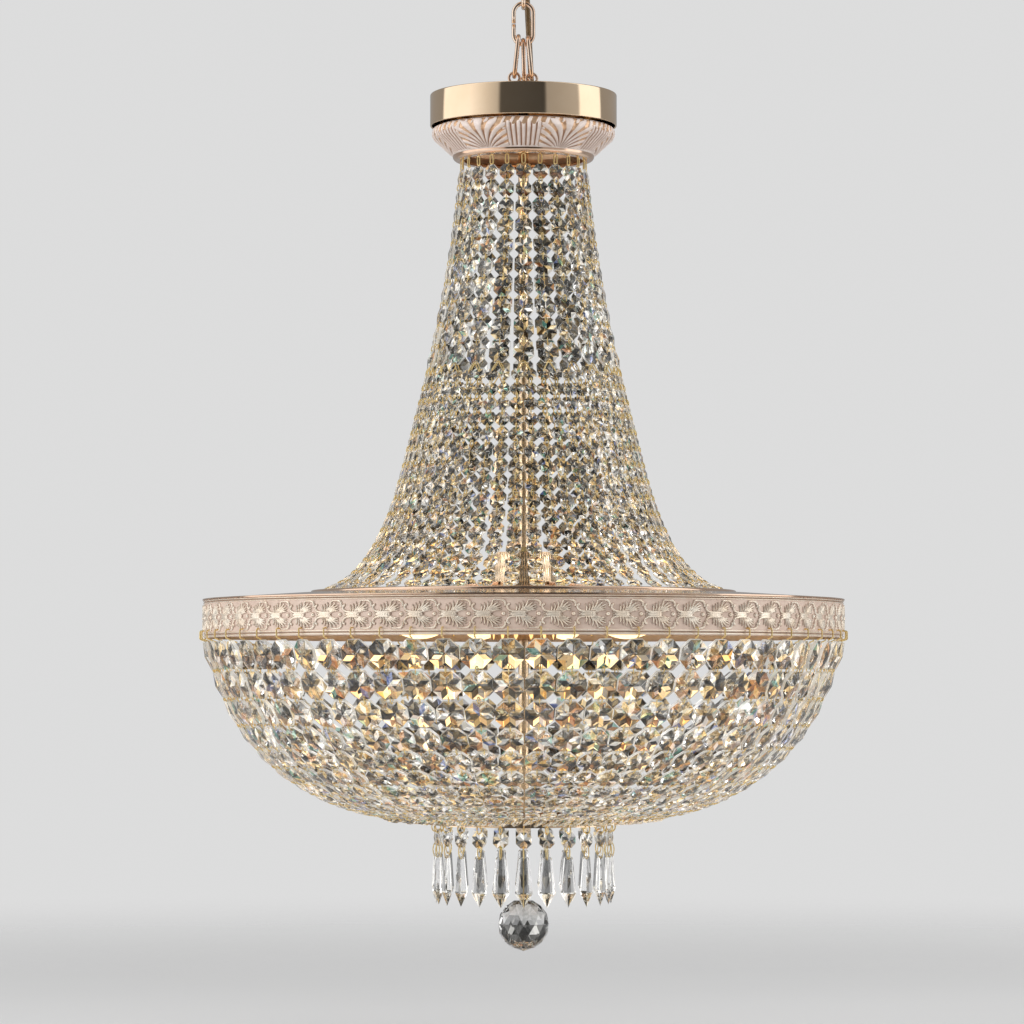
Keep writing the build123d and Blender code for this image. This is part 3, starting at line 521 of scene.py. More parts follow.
def solids_of(node):
    """A CAD node's solids, apart: for each its surface's middle, the three axes of its surface's
    spread (thinnest first), and the corners of its triangles in one array with each solid's start.

    Corners at one place count as joined, and a solid is what hangs together over its triangles."""
    mesh = frame["nodes"][node].data
    mesh.calc_loop_triangles()
    spots = np.zeros(len(mesh.vertices) * 3)
    mesh.vertices.foreach_get("co", spots)
    spots = spots.reshape(-1, 3)
    triangles = np.zeros(len(mesh.loop_triangles) * 3, np.int32)
    mesh.loop_triangles.foreach_get("vertices", triangles)
    triangles = triangles.reshape(-1, 3)
    _, same = np.unique(np.round(spots * 1e6).astype(np.int64), axis=0, return_inverse=True)
    joined_up = same.reshape(-1)[triangles]
    label = np.full(joined_up.max() + 1, len(spots))
    np.minimum.at(label, joined_up, triangles)
    while True:
        least = label[joined_up].min(axis=1)
        spread_out = label.copy()
        np.minimum.at(spread_out, joined_up, least[:, None])
        if (spread_out == label).all():
            break
        label = spread_out
    owner = label[joined_up[:, 0]]
    order = np.argsort(owner, kind="stable")
    corners, owner = spots[triangles[order]], owner[order]
    starts = np.flatnonzero(np.concatenate([[True], owner[1:] != owner[:-1]]))
    area = np.linalg.norm(np.cross(corners[:, 1] - corners[:, 0], corners[:, 2] - corners[:, 0]), axis=1)
    total = np.add.reduceat(area, starts)
    centre = corners.mean(axis=1)
    middle = np.add.reduceat(centre * area[:, None], starts) / total[:, None]
    which = np.repeat(np.arange(len(starts)), np.diff(np.append(starts, len(owner))))
    apart = corners - middle[which][:, None]
    mean = apart.mean(axis=1)
    moment = np.einsum("tci,tcj->tij", apart, apart) + 9 * mean[:, :, None] * mean[:, None, :]
    moment = np.add.reduceat(moment * area[:, None, None], starts) / total[:, None, None]
    return middle, np.swapaxes(np.linalg.eigh(moment)[1], 1, 2), corners, starts, which


def read_beads(node, count, down_along):
    """Where the solids' beads are: each bead's middle, width and axes (across, through, up the string).

    The thinnest spread of a bead is through it; the string lies in the upright plane through the
    rod, square to that. down_along is a (outward, up) pair that says which way is down."""
    middle, spreads, corners, starts, which = solids_of(node)
    if len(middle) != count:
        raise ValueError(f"{node}: {len(middle)} solids, not {count}")
    through = spreads[:, 0]
    radial = unit(middle * (1, 1, 0))
    side = np.stack([-radial[:, 1], radial[:, 0], 0 * radial[:, 0]], axis=1)
    through = through * np.sign((through * radial).sum(-1, keepdims=True) + 1e-9)
    along = unit(np.cross(through, side))
    down = radial * down_along[0] + np.array((0, 0, 1.0)) * down_along[1]
    along *= -np.sign((along * down).sum(-1, keepdims=True))
    across = np.cross(through, along)
    reach = np.einsum("tci,ti->tc", corners, along[which])
    high, low = np.maximum.reduceat(reach.max(axis=1), starts), np.minimum.reduceat(reach.min(axis=1), starts)
    width = high - low
    return middle, width, np.stack([across, through, along], axis=1)


def turned_beads(axes, angles):
    """The axes turned about the string by an angle for each bead."""
    across, through, along = axes[:, 0], axes[:, 1], axes[:, 2]
    c, s = np.cos(angles)[:, None], np.sin(angles)[:, None]
    return np.stack([across * c + through * s, through * c - across * s, along], axis=1)


def facet_numbers(count, liveliness=1.0):
    """A number from 0 to 1 for every facet of every bead, and which facets are the rim's; quads first,
    as put_mesh stores them. The numbers are even chances to the power of liveliness."""
    quads, triangles = len(bead_faces[0]), len(bead_faces[1])
    kite = chance.random((count, quads)) ** liveliness
    kite[:, -8:] = 0
    rim = np.zeros((count, quads))
    rim[:, -8:] = 1
    flat = chance.random(count * triangles) ** liveliness
    return {
        "facet": ("FACE", np.concatenate([kite.ravel(), flat])),
        "rim": ("FACE", np.concatenate([rim.ravel(), 0 * flat])),
    }


def string_of_beads(name, node, rows, columns, down_along, sway, liveliness):
    """Cut beads where the solids have them. sway is the turn of each string and of each bead."""
    count = rows * columns
    middle, width, axes = read_beads(node, count, down_along)
    angles = sway[0] * chance.standard_normal((1, columns))
    angles = angles + sway[1] * chance.standard_normal((rows, columns))
    angles = np.clip(angles, -radians(14), radians(14))
    axes = turned_beads(axes, angles.ravel())
    points, faces = copies(bead_points, bead_faces, axes, middle, width)
    piece = put_mesh(name, points, faces, False, [bead_glass], facet_numbers(count, liveliness))
    stand_in(piece, "chandelier", "crystal", node)
    return middle.reshape(rows, columns, 3), width.reshape(rows, columns), axes.reshape(rows, columns, 3, 3)


upper = string_of_beads(
    "tent_upper_crystals", "tent_upper_beads", 10, 24, (0.5, -1.0), (radians(6), radians(5)), 1.0
)
lower = string_of_beads(
    "tent_lower_crystals", "tent_lower_beads", 15, 48, (0.5, -1.0), (radians(6), radians(5)), 1.0
)
bowl = string_of_beads(
    "bowl_crystals", "bowl_beads", 14, 66, (-1.0, -0.5), (radians(4), radians(3)), 0.7
)

# ---- Rings between the beads ----
pin_gauge = 0.0006
pin_half_width = 0.0020
pin_turn = radians(28)
hole_inset = 0.0024


def loop_shape(segments=12, sides=4):
    """A flattened wire ring as a unit shape: an ellipse's path with a square wire.

    The path has half length 1 along its third axis and half width 1 along its second; the wire's
    own offsets are kept apart, because its gauge doesn't grow with the ring."""
    around = np.arange(segments) * 2 * pi / segments
    wire = np.arange(sides) * 2 * pi / sides + pi / 4
    path = np.stack([0 * around, np.sin(around), np.cos(around)], axis=1)
    offset = (
        np.cos(wire)[None, :, None] * np.array((1.0, 0, 0))
        + np.sin(wire)[None, :, None] * path[:, None, :]
    )
    return path, offset, grid_faces(segments, sides, True, True)


def wire_loops(name, tops, feet, through, gauge, half_width, material, body, slot, nodes):
    """Flattened wire rings from tops to feet, standing square to the beads they join."""
    path, offset, faces = loop_shape()
    middle, span = (tops + feet) / 2, tops - feet
    half = np.linalg.norm(span, axis=-1) / 2
    along = span / (2 * half[:, None])
    second = unit(through - along * (through * along).sum(-1, keepdims=True))
    aside = np.cross(second, along)
    twist = (pin_turn * np.clip(chance.standard_normal(len(middle)), -2, 2))[:, None]
    second = second * np.cos(twist) + aside * np.sin(twist)
    first = np.cross(second, along)
    axes = np.stack([first, second, along], axis=1)
    size = np.stack([0 * half, np.broadcast_to(half_width, half.shape), half], axis=1)
    line = np.einsum("sk,nk,nkx->nsx", path, size, axes)
    wire = np.einsum("swk,nkx->nswx", offset, axes) * gauge
    points = middle[:, None, None, :] + line[:, :, None, :] + wire
    step = (np.arange(len(middle)) * points.shape[1] * points.shape[2])[:, None, None]
    quads = (faces[None] + step).reshape(-1, 4)
    piece = put_mesh(name, points.reshape(-1, 3), [quads[:, ::-1]], True, [material])
    return stand_in(piece, body, slot, *nodes)


def string_ends(beads, side):
    """The holes near a bead's upper (1) or lower (-1) rim."""
    middle, width, axes = beads
    return middle + axes[:, :, 2] * (side * (width / 2 - hole_inset))[..., None]


def joined(beads):
    """Ring ends between every bead and the next one on its string."""
    tops, feet = string_ends(beads, -1)[:-1], string_ends(beads, 1)[1:]
    return tops.reshape(-1, 3), feet.reshape(-1, 3), beads[2][:-1, :, 1].reshape(-1, 3)


def split_joins():
    """Each upper string's last bead holds the first beads of two lower strings."""
    start, feet = string_ends(upper, -1)[-1], string_ends(lower, 1)[0]
    near = np.argsort(((feet[:, None] - start[None]) ** 2).sum(-1), axis=1)[:, 0]
    shift = unit(feet - start[near]) * 0.0006
    return start[near] + shift, feet, lower[2][0][:, 1]


def last_joins(beads, reach):
    """From each string's last bead on to what holds it."""
    start = string_ends(beads, -1)[-1]
    return start, start - beads[2][-1][:, 2] * reach, beads[2][-1][:, 1]


joins = [joined(upper), joined(lower), joined(bowl), split_joins()]
joins += [last_joins(lower, 0.0042), last_joins(bowl, 0.0042)]
wire_loops(
    "bead_rings",
    *(np.concatenate([join[i] for join in joins]) for i in range(3)),
    pin_gauge,
    pin_half_width,
    yellow_gold,
    "chandelier",
    "gold_wire",
    ["bead_pins"],
)

# ---- Ornamented band ----
ornament_count = 62
ornament_columns = 76
band_quarters = 4
relief_height = 0.0017
stroke_paths = [
    # half widths in mm at the start, middle and end; then places along and up from the centre line
    ((1.0, 0.9, 1.0), [(0.060, 0.64), (0.005, 0.50), (0.050, 0.28), (0.200, 0.17)]),
    ((1.0, 1.2, 0.3), [(0.190, 0.17), (0.330, 0.13), (0.460, 0.14), (0.620, 0.17)]),
    ((0.4, 0.7, 0.3), [(0.040, 0.11), (0.180, 0.035), (0.380, 0.03), (0.580, 0.05)]),
    ((0.7, 0.7, 0.3), [(0.27, 0.26), (0.28, 0.42), (0.25, 0.62)]),
    ((0.7, 0.7, 0.3), [(0.34, 0.26), (0.37, 0.48), (0.35, 0.72)]),
    ((0.7, 0.8, 0.3), [(0.41, 0.27), (0.46, 0.52), (0.45, 0.82)]),
    ((0.8, 0.9, 0.4), [(0.46, 0.28), (0.56, 0.62), (0.60, 0.90)]),
    ((0.7, 0.9, 0.4), [(0.51, 0.28), (0.64, 0.58), (0.74, 0.78)]),
    ((0.7, 0.8, 0.4), [(0.55, 0.26), (0.69, 0.48), (0.83, 0.62)]),
    ((0.6, 0.7, 0.3), [(0.58, 0.23), (0.71, 0.36), (0.84, 0.44)]),
    ((0.5, 0.6, 0.3), [(0.60, 0.19), (0.71, 0.25), (0.83, 0.27)]),
    ((0.5, 1.1, 0.9), [(0.60, 0.90), (0.74, 0.97), (0.90, 0.88), (0.945, 0.56)]),
]
dot_place, dot_radius = 0.90, 0.0019
border_ridges = [(0.030, 0.0007), (0.085, 0.0006), (0.885, 0.0006), (0.955, 0.0008)]
border_grooves = [(0.060, 0.0006), (0.925, 0.0006)]
field_middle, field_half = 0.485, 0.365
seam_shade_reach = 0.0006


def stroke_height(along, up, pitch, reach):
    """Relief of the ornament at grid points: over each stroke a half-round ridge, height falling as
    the root of one less the squared distance over the stroke's half width. Returns height and a mask
    of painted shade, dark close beside a ridge."""
    height, seam_shade = np.zeros_like(along), np.zeros_like(along)
    x, y = along * pitch, np.abs(up) * reach
    for widths, route in stroke_paths:
        route = np.array(route) * (pitch, reach)
        steps = np.linspace(0, 1, 40)
        knots = np.linspace(0, 1, len(route))
        order = len(route) - 1
        px = np.polyval(np.polyfit(knots, route[:, 0], order), steps)
        py = np.polyval(np.polyfit(knots, route[:, 1], order), steps)
        half = np.interp(steps, [0, 0.5, 1], widths) * 0.001
        for shift in (-pitch, 0, pitch):
            gap = np.hypot(x[..., None] - px - shift, y[..., None] - py)
            share = (gap / half).min(axis=-1)
            height = np.maximum(height, np.sqrt(np.clip(1 - share**2, 0, 1)))
            beyond = (gap - half).min(axis=-1)
            # painted shade just outside each stroke
            seam_shade = np.maximum(seam_shade, np.where(share > 0.95, np.clip(1 - beyond / seam_shade_reach, 0, 1), 0))
    gap = np.hypot(x - dot_place * pitch, y)
    height = np.maximum(height, 1.3 * np.sqrt(np.clip(1 - (gap / dot_radius) ** 2, 0, 1)))
    beyond = gap - dot_radius
    seam_shade = np.maximum(seam_shade, np.where(beyond > 0, np.clip(1 - beyond / seam_shade_reach, 0, 1), 0))
    return height, seam_shade * (height < 0.25)


def band_section():
    """Rows down the band's outside: each row's share of the height, and for one ornament's width the
    radius's rise over the ground, how raised it is and where painted shade falls beside ridges and
    in the border grooves."""
    runs = [(0, 0.112, 14), (0.12, 0.85, 48), (0.86, 1, 15)]
    shares = np.concatenate([np.linspace(*run) for run in runs])
    pitch = 2 * pi * ring_radius / ornament_count
    along = np.arange(ornament_columns) / ornament_columns
    grid_along, grid_share = np.meshgrid(along, shares)
    up = (field_middle - grid_share) / field_half
    height, seam_shade = stroke_height(grid_along, up, pitch, field_half * band_height)
    inside_field = np.abs(up) < 1.0
    height, seam_shade = height * inside_field, seam_shade * inside_field
    ridge, groove = np.zeros_like(grid_share), np.zeros_like(grid_share)
    for place, half in border_ridges:
        ridge = np.maximum(ridge, 1 - ((grid_share - place) * band_height / half) ** 2)
    for place, half in border_grooves:
        groove += np.exp(-(((grid_share - place) * band_height / half) ** 2))
    ridge = np.sqrt(np.clip(ridge, 0, 1))
    edge = (grid_share < 0.005) | (grid_share > 0.995)
    rise = relief_height * height + 0.0010 * ridge - 0.0004 * groove - 0.0006 * edge
    # the border grooves add painted shade to the mask
    return shares, rise, np.maximum(height, ridge), np.maximum(seam_shade, 0.8 * np.clip(groove, 0, 1))


def band_quarter(number, section):
    """A quarter of the closed ring, closed at both ends: outside, the ground plus the rise of the
    section; then the lower edge and the plain inside."""
    shares, rise, raised, seam_shades = section
    total = ornament_count * ornament_columns
    span = total // band_quarters
    columns = number * span + np.arange(span + 1)
    turn, pick = columns / total * 2 * pi, columns % ornament_columns
    radius = ring_radius - relief_height * 1.2 + rise[:, pick]
    z = band_high.z - shares[:, None] * band_height + 0 * turn
    inner = np.full((2, span + 1), ring_radius - band_wall)
    inner_z = np.array([[band_low.z], [band_high.z]]) + 0 * turn
    radius, z = np.vstack([radius, inner]), np.vstack([z, inner_z])
    points = np.stack([radius * np.cos(turn), radius * np.sin(turn), z], axis=-1).reshape(-1, 3)
    plain = np.ones((2, span + 1))
    faces = grid_faces(len(shares) + 2, span + 1, True, False)[:, ::-1]
    ends = np.arange(len(shares) + 2) * (span + 1)
    ends = np.stack([ends, (ends + span)[::-1]])
    numbers = {
        "raised": ("POINT", np.vstack([raised[:, pick], plain]).ravel()),
        "seam_shade": ("POINT", np.vstack([seam_shades[:, pick], 0 * plain]).ravel()),
    }
    piece = put_mesh(f"band_relief_{number + 1}", points, [faces, ends], True, [band_finish], numbers)
    return stand_in(piece, "chandelier", "painted_ornament", "ring_band")


section = band_section()
for number in range(band_quarters):
    band_quarter(number, section)

# ---- Cast crown ----
crown_low, crown_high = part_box("crown")
crown_outline = [
    # radius, height under the crown's top
    (0.0825, 0.0),
    (0.0850, 0.0012),
    (0.0861, 0.0040),
    (0.0861, 0.0075),
    (0.0845, 0.0108),
    (0.0812, 0.0138),
    (0.0775, 0.0170),
    (0.0742, 0.0202),
    (0.0706, 0.0235),
    (0.0665, 0.0265),
]
crown_repeats = 6
flute_half = radians(11.5)
flute_pitch = radians(3.3)
finger_pitch = radians(15.0)
crown_waist = 0.075
crown_carve = 0.0014


def crown_relief():
    """A turned shell whose outside is carved: in each sixth, flutes (a cosine of the angle) and, half
    way between, a leaf fan (a cosine of the bearing from a point at the crown's foot, which bends
    outward with height). Leaves and flutes are painted, and the metal shows where they part. The
    hollows between flutes and leaf fingers get painted shade."""
    columns, rows = crown_repeats * 160, 56
    outline = np.array(crown_outline)
    knots = np.linspace(0, 1, len(outline))
    share = np.linspace(0, 1, rows)
    radius = np.interp(share, knots, outline[:, 0])
    drop = np.interp(share, knots, outline[:, 1])
    turn = np.arange(columns) / columns * 2 * pi
    sixth = 2 * pi / crown_repeats
    around = (turn + pi / 2 + sixth / 2) % sixth - sixth / 2
    a, s = np.meshgrid(around, share)
    wave = np.sin(9 * turn + 2.0) * np.sin(5 * turn + 1.0)
    flute = 0.5 + 0.5 * np.cos(a / flute_pitch * 2 * pi)
    flute_top = 0.30 + 0.06 * np.cos(a / flute_pitch * pi)
    flute_zone = (np.abs(a) < flute_half) & (s > flute_top) & (s < 0.96)
    aside = (sixth / 2 - np.abs(a)) * crown_waist
    up = (1.0 - s) * 0.036 + 0.003
    bend = aside / (1 + 0.9 * (up / 0.036) ** 2)
    bearing = np.arctan2(bend, up)
    reach = np.hypot(aside, up)
    finger = 0.5 + 0.5 * np.cos(bearing / finger_pitch * 2 * pi)
    leaf_end = 0.034 + 0.004 * np.cos(bearing / finger_pitch * 2 * pi)
    fan_zone = (np.abs(a) >= flute_half) & (reach < leaf_end) & (s < 0.97)
    rest = ~flute_zone & ~fan_zone
    tips = 0.5 + 0.5 * np.cos(a / (flute_pitch * 1.7) * 2 * pi + 9 * s)
    bare = rest & (s < 0.45) & (s > 0.05) & (tips < 0.62 + 0.2 * wave)
    carve = np.where(flute_zone, flute, np.where(fan_zone, finger, np.where(bare, 0.25, 0.95)))
    carve = np.where(s > 0.965, 1.0, carve)
    wide = np.where(fan_zone, 0.30 + 6 * reach, 0.42)
    # painted shade in the hollows between flutes and leaf fingers
    seam_shade = np.where(flute_zone | fan_zone, np.clip(1.15 - carve / wide, 0, 1), 0) * (s < 0.965)
    gap_wide = fan_zone & (reach > 0.022) & (finger < 0.35)
    raised = np.where(bare | gap_wide, 1.0, 0.0) + 0.10 * (carve > 0.9)
    seam_shade = np.where(gap_wide, 0.25 * seam_shade, seam_shade)
    out = radius[:, None] - crown_carve * (1 - np.clip(carve, 0, 1) ** 0.7)
    z = crown_high.z - drop[:, None] + 0 * turn
    inner = np.array([[0.0630], [0.0630], [0.0780]]) + 0 * turn
    inner_z = np.array([[crown_low.z], [crown_high.z - 0.004], [crown_high.z]]) + 0 * turn
    out, z = np.vstack([out, inner]), np.vstack([z, inner_z])
    points = np.stack([out * np.cos(turn), out * np.sin(turn), z], axis=-1).reshape(-1, 3)
    blank = np.zeros((3, columns))
    numbers = {
        "raised": ("POINT", np.vstack([raised, blank + 1.0]).ravel()),
        "seam_shade": ("POINT", np.vstack([seam_shade, blank]).ravel()),
    }
    faces = grid_faces(rows + 3, columns, True, True)[:, ::-1]
    piece = put_mesh("crown_relief", points, [faces], True, [crown_finish], numbers)
    return stand_in(piece, "chandelier", "painted_crown", "crown")


crown_relief()


# ---- Drum cap ----
cap_edge = 0.0012
cap_skirt = 0.0016


def turned_shell(name, outline, material, slot, node, segments=240):
    """A shell turned round the Z axis: an outline of (radius, height) from a point on the axis to
    another, whose first and last lines close in fans."""
    outline = np.array(outline)
    turn = np.arange(segments) * 2 * pi / segments
    inner = outline[1:-1]
    rows = len(inner)
    x = inner[:, :1] * np.cos(turn)
    y = inner[:, :1] * np.sin(turn)
    z = inner[:, 1:] + 0 * turn
    points = np.stack([x, y, z], axis=-1).reshape(-1, 3)
    poles = np.stack([(0, 0, outline[0, 1]), (0, 0, outline[-1, 1])])
    step = np.arange(segments)
    after = (step + 1) % segments
    first = np.stack([0 * step + rows * segments, step, after], axis=1)
    last = np.stack([0 * step + rows * segments + 1, after, step], axis=1)
    last[:, 1:] += (rows - 1) * segments
    faces = [grid_faces(rows, segments, False, True), np.vstack([first, last])]
    piece = put_mesh(name, np.vstack([points, poles]), faces, True, [material])
    fix_outward(piece)
    sharpen(piece)
    return stand_in(piece, "chandelier", slot, node)


def fix_outward(piece):
    """Turns every face of closed shells outwards."""
    shell = bmesh.new()
    shell.from_mesh(piece.data)
    bmesh.ops.recalc_face_normals(shell, faces=shell.faces)
    shell.to_mesh(piece.data)
    shell.free()


def sharpen(piece, angle=radians(32)):
    """Marks the edges that bend more than an angle as sharp."""
    shell = bmesh.new()
    shell.from_mesh(piece.data)
    for edge in shell.edges:
        edge.smooth = len(edge.link_faces) == 2 and edge.calc_face_angle(0.0) < angle
    shell.to_mesh(piece.data)
    shell.free()


cap_low, cap_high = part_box("top_cap")
cap_radius = 0.0878
quarter = np.linspace(0, pi / 2, 6)
top_round = [
    (cap_radius - cap_edge + cap_edge * np.sin(q), cap_high.z - cap_edge + cap_edge * np.cos(q))
    for q in quarter
]
hem = cap_skirt / 2
foot_round = [
    (cap_radius - hem + hem * np.cos(q), cap_low.z + hem - hem * np.sin(q)) for q in np.linspace(0, pi, 9)
]
cap_outline = [
    (0, cap_high.z),
    *top_round,
    *foot_round,
    (cap_radius - cap_skirt, cap_high.z - cap_skirt),
    (0, cap_high.z - cap_skirt),
]
turned_shell("cap_drum", cap_outline, champagne, "polished_gold", "top_cap")


# ---- Chain links with their cut ----
link_length, link_width, link_wire = 0.043, 0.0223, 0.004
cut_gap = 0.0011


def open_link(place, width_axis, long_axis, cut_side):
    """An oval link of round wire whose leg is cut: the wire's middle runs down one leg, round a half
    circle, up the other leg, round again and back to the cut. Returns points and quads."""
    mean, straight = (link_width - link_wire) / 2, link_length - link_width
    arc = np.linspace(0, pi, 21)
    low = np.stack([-np.cos(arc) * mean, -straight / 2 - np.sin(arc) * mean], axis=1)
    high = -low
    start = np.array([[-mean, -cut_gap / 2]])
    path = np.concatenate([start, low, high, start * (1, -1)])
    step = np.gradient(path, axis=0)
    tangent = unit(step)
    tangent[0] = tangent[-1] = (0, -1)
    normal = np.stack([-tangent[:, 1], tangent[:, 0]], axis=1)
    around = np.arange(16) * 2 * pi / 16
    depth_axis = np.cross(long_axis, width_axis)
    plane = np.stack([cut_side * width_axis, long_axis])
    line = path @ plane
    out = normal @ plane
    wire = link_wire / 2 * (
        np.cos(around)[None, :, None] * out[:, None, :] + np.sin(around)[None, :, None] * depth_axis
    )
    points = (place + line[:, None, :] + wire).reshape(-1, 3)
    quads = grid_faces(len(path), 16, False, True)
    caps = [np.arange(16)[::-1], (len(path) - 1) * 16 + np.arange(16)]
    return points, quads, np.array(caps)


def cut_links(name, node, body, cut_side):
    """Open links where the solids have their closed ones: the longest spread of a link's points is
    its length and the next its width."""
    points, quads, caps, count = [], [], [], 0
    middles, spreads, _, _, _ = solids_of(node)
    for middle, spread_axes in zip(middles, spreads):
        width_axis, long_axis = spread_axes[1], spread_axes[2]
        long_axis = long_axis * np.sign(long_axis[2])
        lean = width_axis[0] if abs(width_axis[0]) > 0.5 else -width_axis[1]
        width_axis = width_axis * np.sign(lean)
        p, q, c = open_link(middle, width_axis, long_axis, cut_side)
        points.append(p)
        quads.append(q + count)
        caps.append(c + count)
        count += len(p)
    faces = [np.concatenate(quads), np.concatenate(caps)]
    piece = put_mesh(name, np.concatenate(points), faces, True, [chain_gold])
    work = piece.data
    work.polygons.foreach_set("use_smooth", np.array([len(p.vertices) == 4 for p in work.polygons]))
    fix_outward(piece)
    return stand_in(piece, body, "polished_gold", node)


cut_links("upper_link_cut", "chain_link_upper", "upper_link", 1)
cut_links("lower_link_cut", "chain_link_lower", "lower_link", 1)
cut_links("bridle_links_cut", "bridle_links", "chandelier", 1)

# ---- Lead ----
lead_diameter = 0.0054
lead_route = [(0.00865, 0.0164, -0.2274), (0.00357, 0.0164, -0.126775), (-0.00151, 0.0164, -0.02615)]


def straight_lead():
    """The mains lead, held straight between the cap and the terminal block."""
    curve = bpy.data.curves.new("mains_lead", "CURVE")
    curve.dimensions = "3D"
    curve.bevel_depth = lead_diameter / 2
    curve.bevel_resolution = 4
    curve.use_fill_caps = True
    line = curve.splines.new("NURBS")
    line.points.add(len(lead_route) - 1)
    for point, place in zip(line.points, lead_route):
        point.co = (*place, 1.0)
    line.order_u = 3
    line.use_endpoint_u = True
    curve.materials.append(lead_brown)
    piece = put_object("mains_lead", curve)
    stand_in(piece, "ceiling_fitting", "lead", "power_cable")


straight_lead()

# ---- Fringe ----
rim_radius, rim_height = 0.0815, ring_top - 0.207
fringe_count = 24
ring_reach, ring_gauge, ring_drop = 0.0042, 0.0006, 0.0025
fringe_bead_width = 0.0145
hole_from_rim = 0.0022
link_reach, link_half, link_gauge = 0.0127, 0.0030, 0.0005
drop_length, drop_tip = 0.0465, 0.0135
drop_top_width, drop_width, drop_thickness = 0.009, 0.016, 0.008
drop_hole = 0.0025
upper_hole = rim_height - ring_drop - ring_reach
fringe_bead_height = upper_hole + hole_from_rim - fringe_bead_width / 2
lower_hole = fringe_bead_height - fringe_bead_width / 2 + hole_from_rim
drop_top = lower_hole - link_reach + drop_hole


def drop_shape():
    """An icicle drop: eight-sided sections, flat in front and behind, from a chamfered top out to its
    widest place and down to a point. Axes are outward, sideways, up."""
    top_share = drop_top_width / drop_width
    sections = [
        # height, shares of the full width and thickness
        (0.0, 0.8 * top_share, 0.42),
        (-0.0012, top_share, 0.62),
        (-(drop_length - drop_tip), 1.0, 1.0),
    ]
    rows = []
    for z, wide, thick in sections:
        w, t = wide * drop_width / 2, thick * drop_thickness / 2
        flat, edge = 0.42 * w, 0.12 * t
        section = [(t, -flat), (t, flat), (edge, w), (-edge, w)]
        section += [(-t, flat), (-t, -flat), (-edge, -w), (edge, -w)]
        rows.append([(x, y, z) for x, y in section])
    points = np.array(rows).reshape(-1, 3)
    points = np.vstack([points, (0, 0, -drop_length)])
    sides = grid_faces(3, 8, False, True)
    tip = np.array([(16 + i, 16 + (i + 1) % 8, 24) for i in range(8)])
    lid = np.array([np.arange(8)])
    return points, outward_solid(points, [sides, tip, lid])


def outward_solid(points, faces):
    """Faces of a convex shape, turned away from its middle."""
    centre = points.mean(axis=0)
    return outward_faces(points - centre, faces)


drop_points, drop_faces = drop_shape()
# facet numbers: the flats in front and behind get painted grey shade, the bevels stay clear, the thin edges
# get a painted glint
drop_side_painted_tones = np.array([0.40, 0.1, 0.91, 0.1, 0.55, 0.1, 0.91, 0.1] * 2)
# tip facets get, at random, clear, painted grey, a painted cream glint or a painted white glint
tip_painted_tones = np.array([0.1, 0.4, 0.72, 0.91])


def ring_tube(centre, first, second, reach_first, reach_second, gauge, segments=28, sides=8):
    """A closed wire: an ellipse in two axes with a round section."""
    around = np.arange(segments) * 2 * pi / segments
    wire = np.arange(sides) * 2 * pi / sides
    c, s = np.cos(around)[:, None], np.sin(around)[:, None]
    line = centre + c * first * reach_first + s * second * reach_second
    out = unit(c * first * reach_second + s * second * reach_first)
    depth = np.cross(first, second)
    points = line[:, None] + gauge * (
        np.cos(wire)[None, :, None] * out[:, None] + np.sin(wire)[None, :, None] * depth
    )
    return points.reshape(-1, 3), grid_faces(segments, sides, True, True)


def fringe_pendant(number):
    """One pendant: a ring on the plate's rim, a cut bead, a flattened link and an icicle drop."""
    angle = 2 * pi * number / fringe_count
    outward = np.array((np.cos(angle), np.sin(angle), 0.0))
    side = np.array((-np.sin(angle), np.cos(angle), 0.0))
    up = np.array((0, 0, 1.0))
    body = f"pendant_{number + 1:02d}"
    place = outward * rim_radius
    ring_place = place + up * (rim_height - ring_drop)
    link_place = place + up * (lower_hole + drop_top - drop_hole) / 2
    wires = [
        ring_tube(ring_place, outward, up, ring_reach, ring_reach, ring_gauge),
        ring_tube(link_place, outward, up, link_half, link_reach / 2, link_gauge),
    ]
    points = np.vstack([p for p, _ in wires])
    quads = np.vstack([wires[0][1], wires[1][1] + len(wires[0][0])])
    metal_piece = put_mesh(f"{body}_wires", points, [quads], True, [yellow_gold])
    fix_outward(metal_piece)
    stand_in(metal_piece, body, "gold_wire", body)
    axes = np.stack([side, outward, up])[None]
    bead_place = (place + up * fringe_bead_height)[None]
    bead = copies(bead_points, bead_faces, axes, bead_place, np.array([fringe_bead_width]))
    drop_axes = np.stack([outward, side, up])[None]
    drop = copies(drop_points, drop_faces, drop_axes, (place + up * drop_top)[None], np.array([1.0]))
    shift = len(bead[0])
    points = np.vstack([bead[0], drop[0]])
    faces = [*bead[1], *(group + shift for group in drop[1])]
    drop_facets = np.concatenate([drop_side_painted_tones, tip_painted_tones[chance.integers(0, 4, 8)], [0.0]])
    tones = {
        key: (at, np.concatenate([values, drop_facets * (key == "facet")]))
        for key, (at, values) in facet_numbers(1).items()
    }
    glass = put_mesh(f"{body}_crystals", points, faces, False, [bead_glass], tones)
    fix_outward(glass)
    return stand_in(glass, body, "crystal", body)


for number in range(fringe_count):
    fringe_pendant(number)

# ---- Ball ----
ball_low, ball_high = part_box("crystal_ball")
ball_radius = (ball_high.x - ball_low.x) / 2
ball_centre = ball_high.z + 0.001 - ball_radius


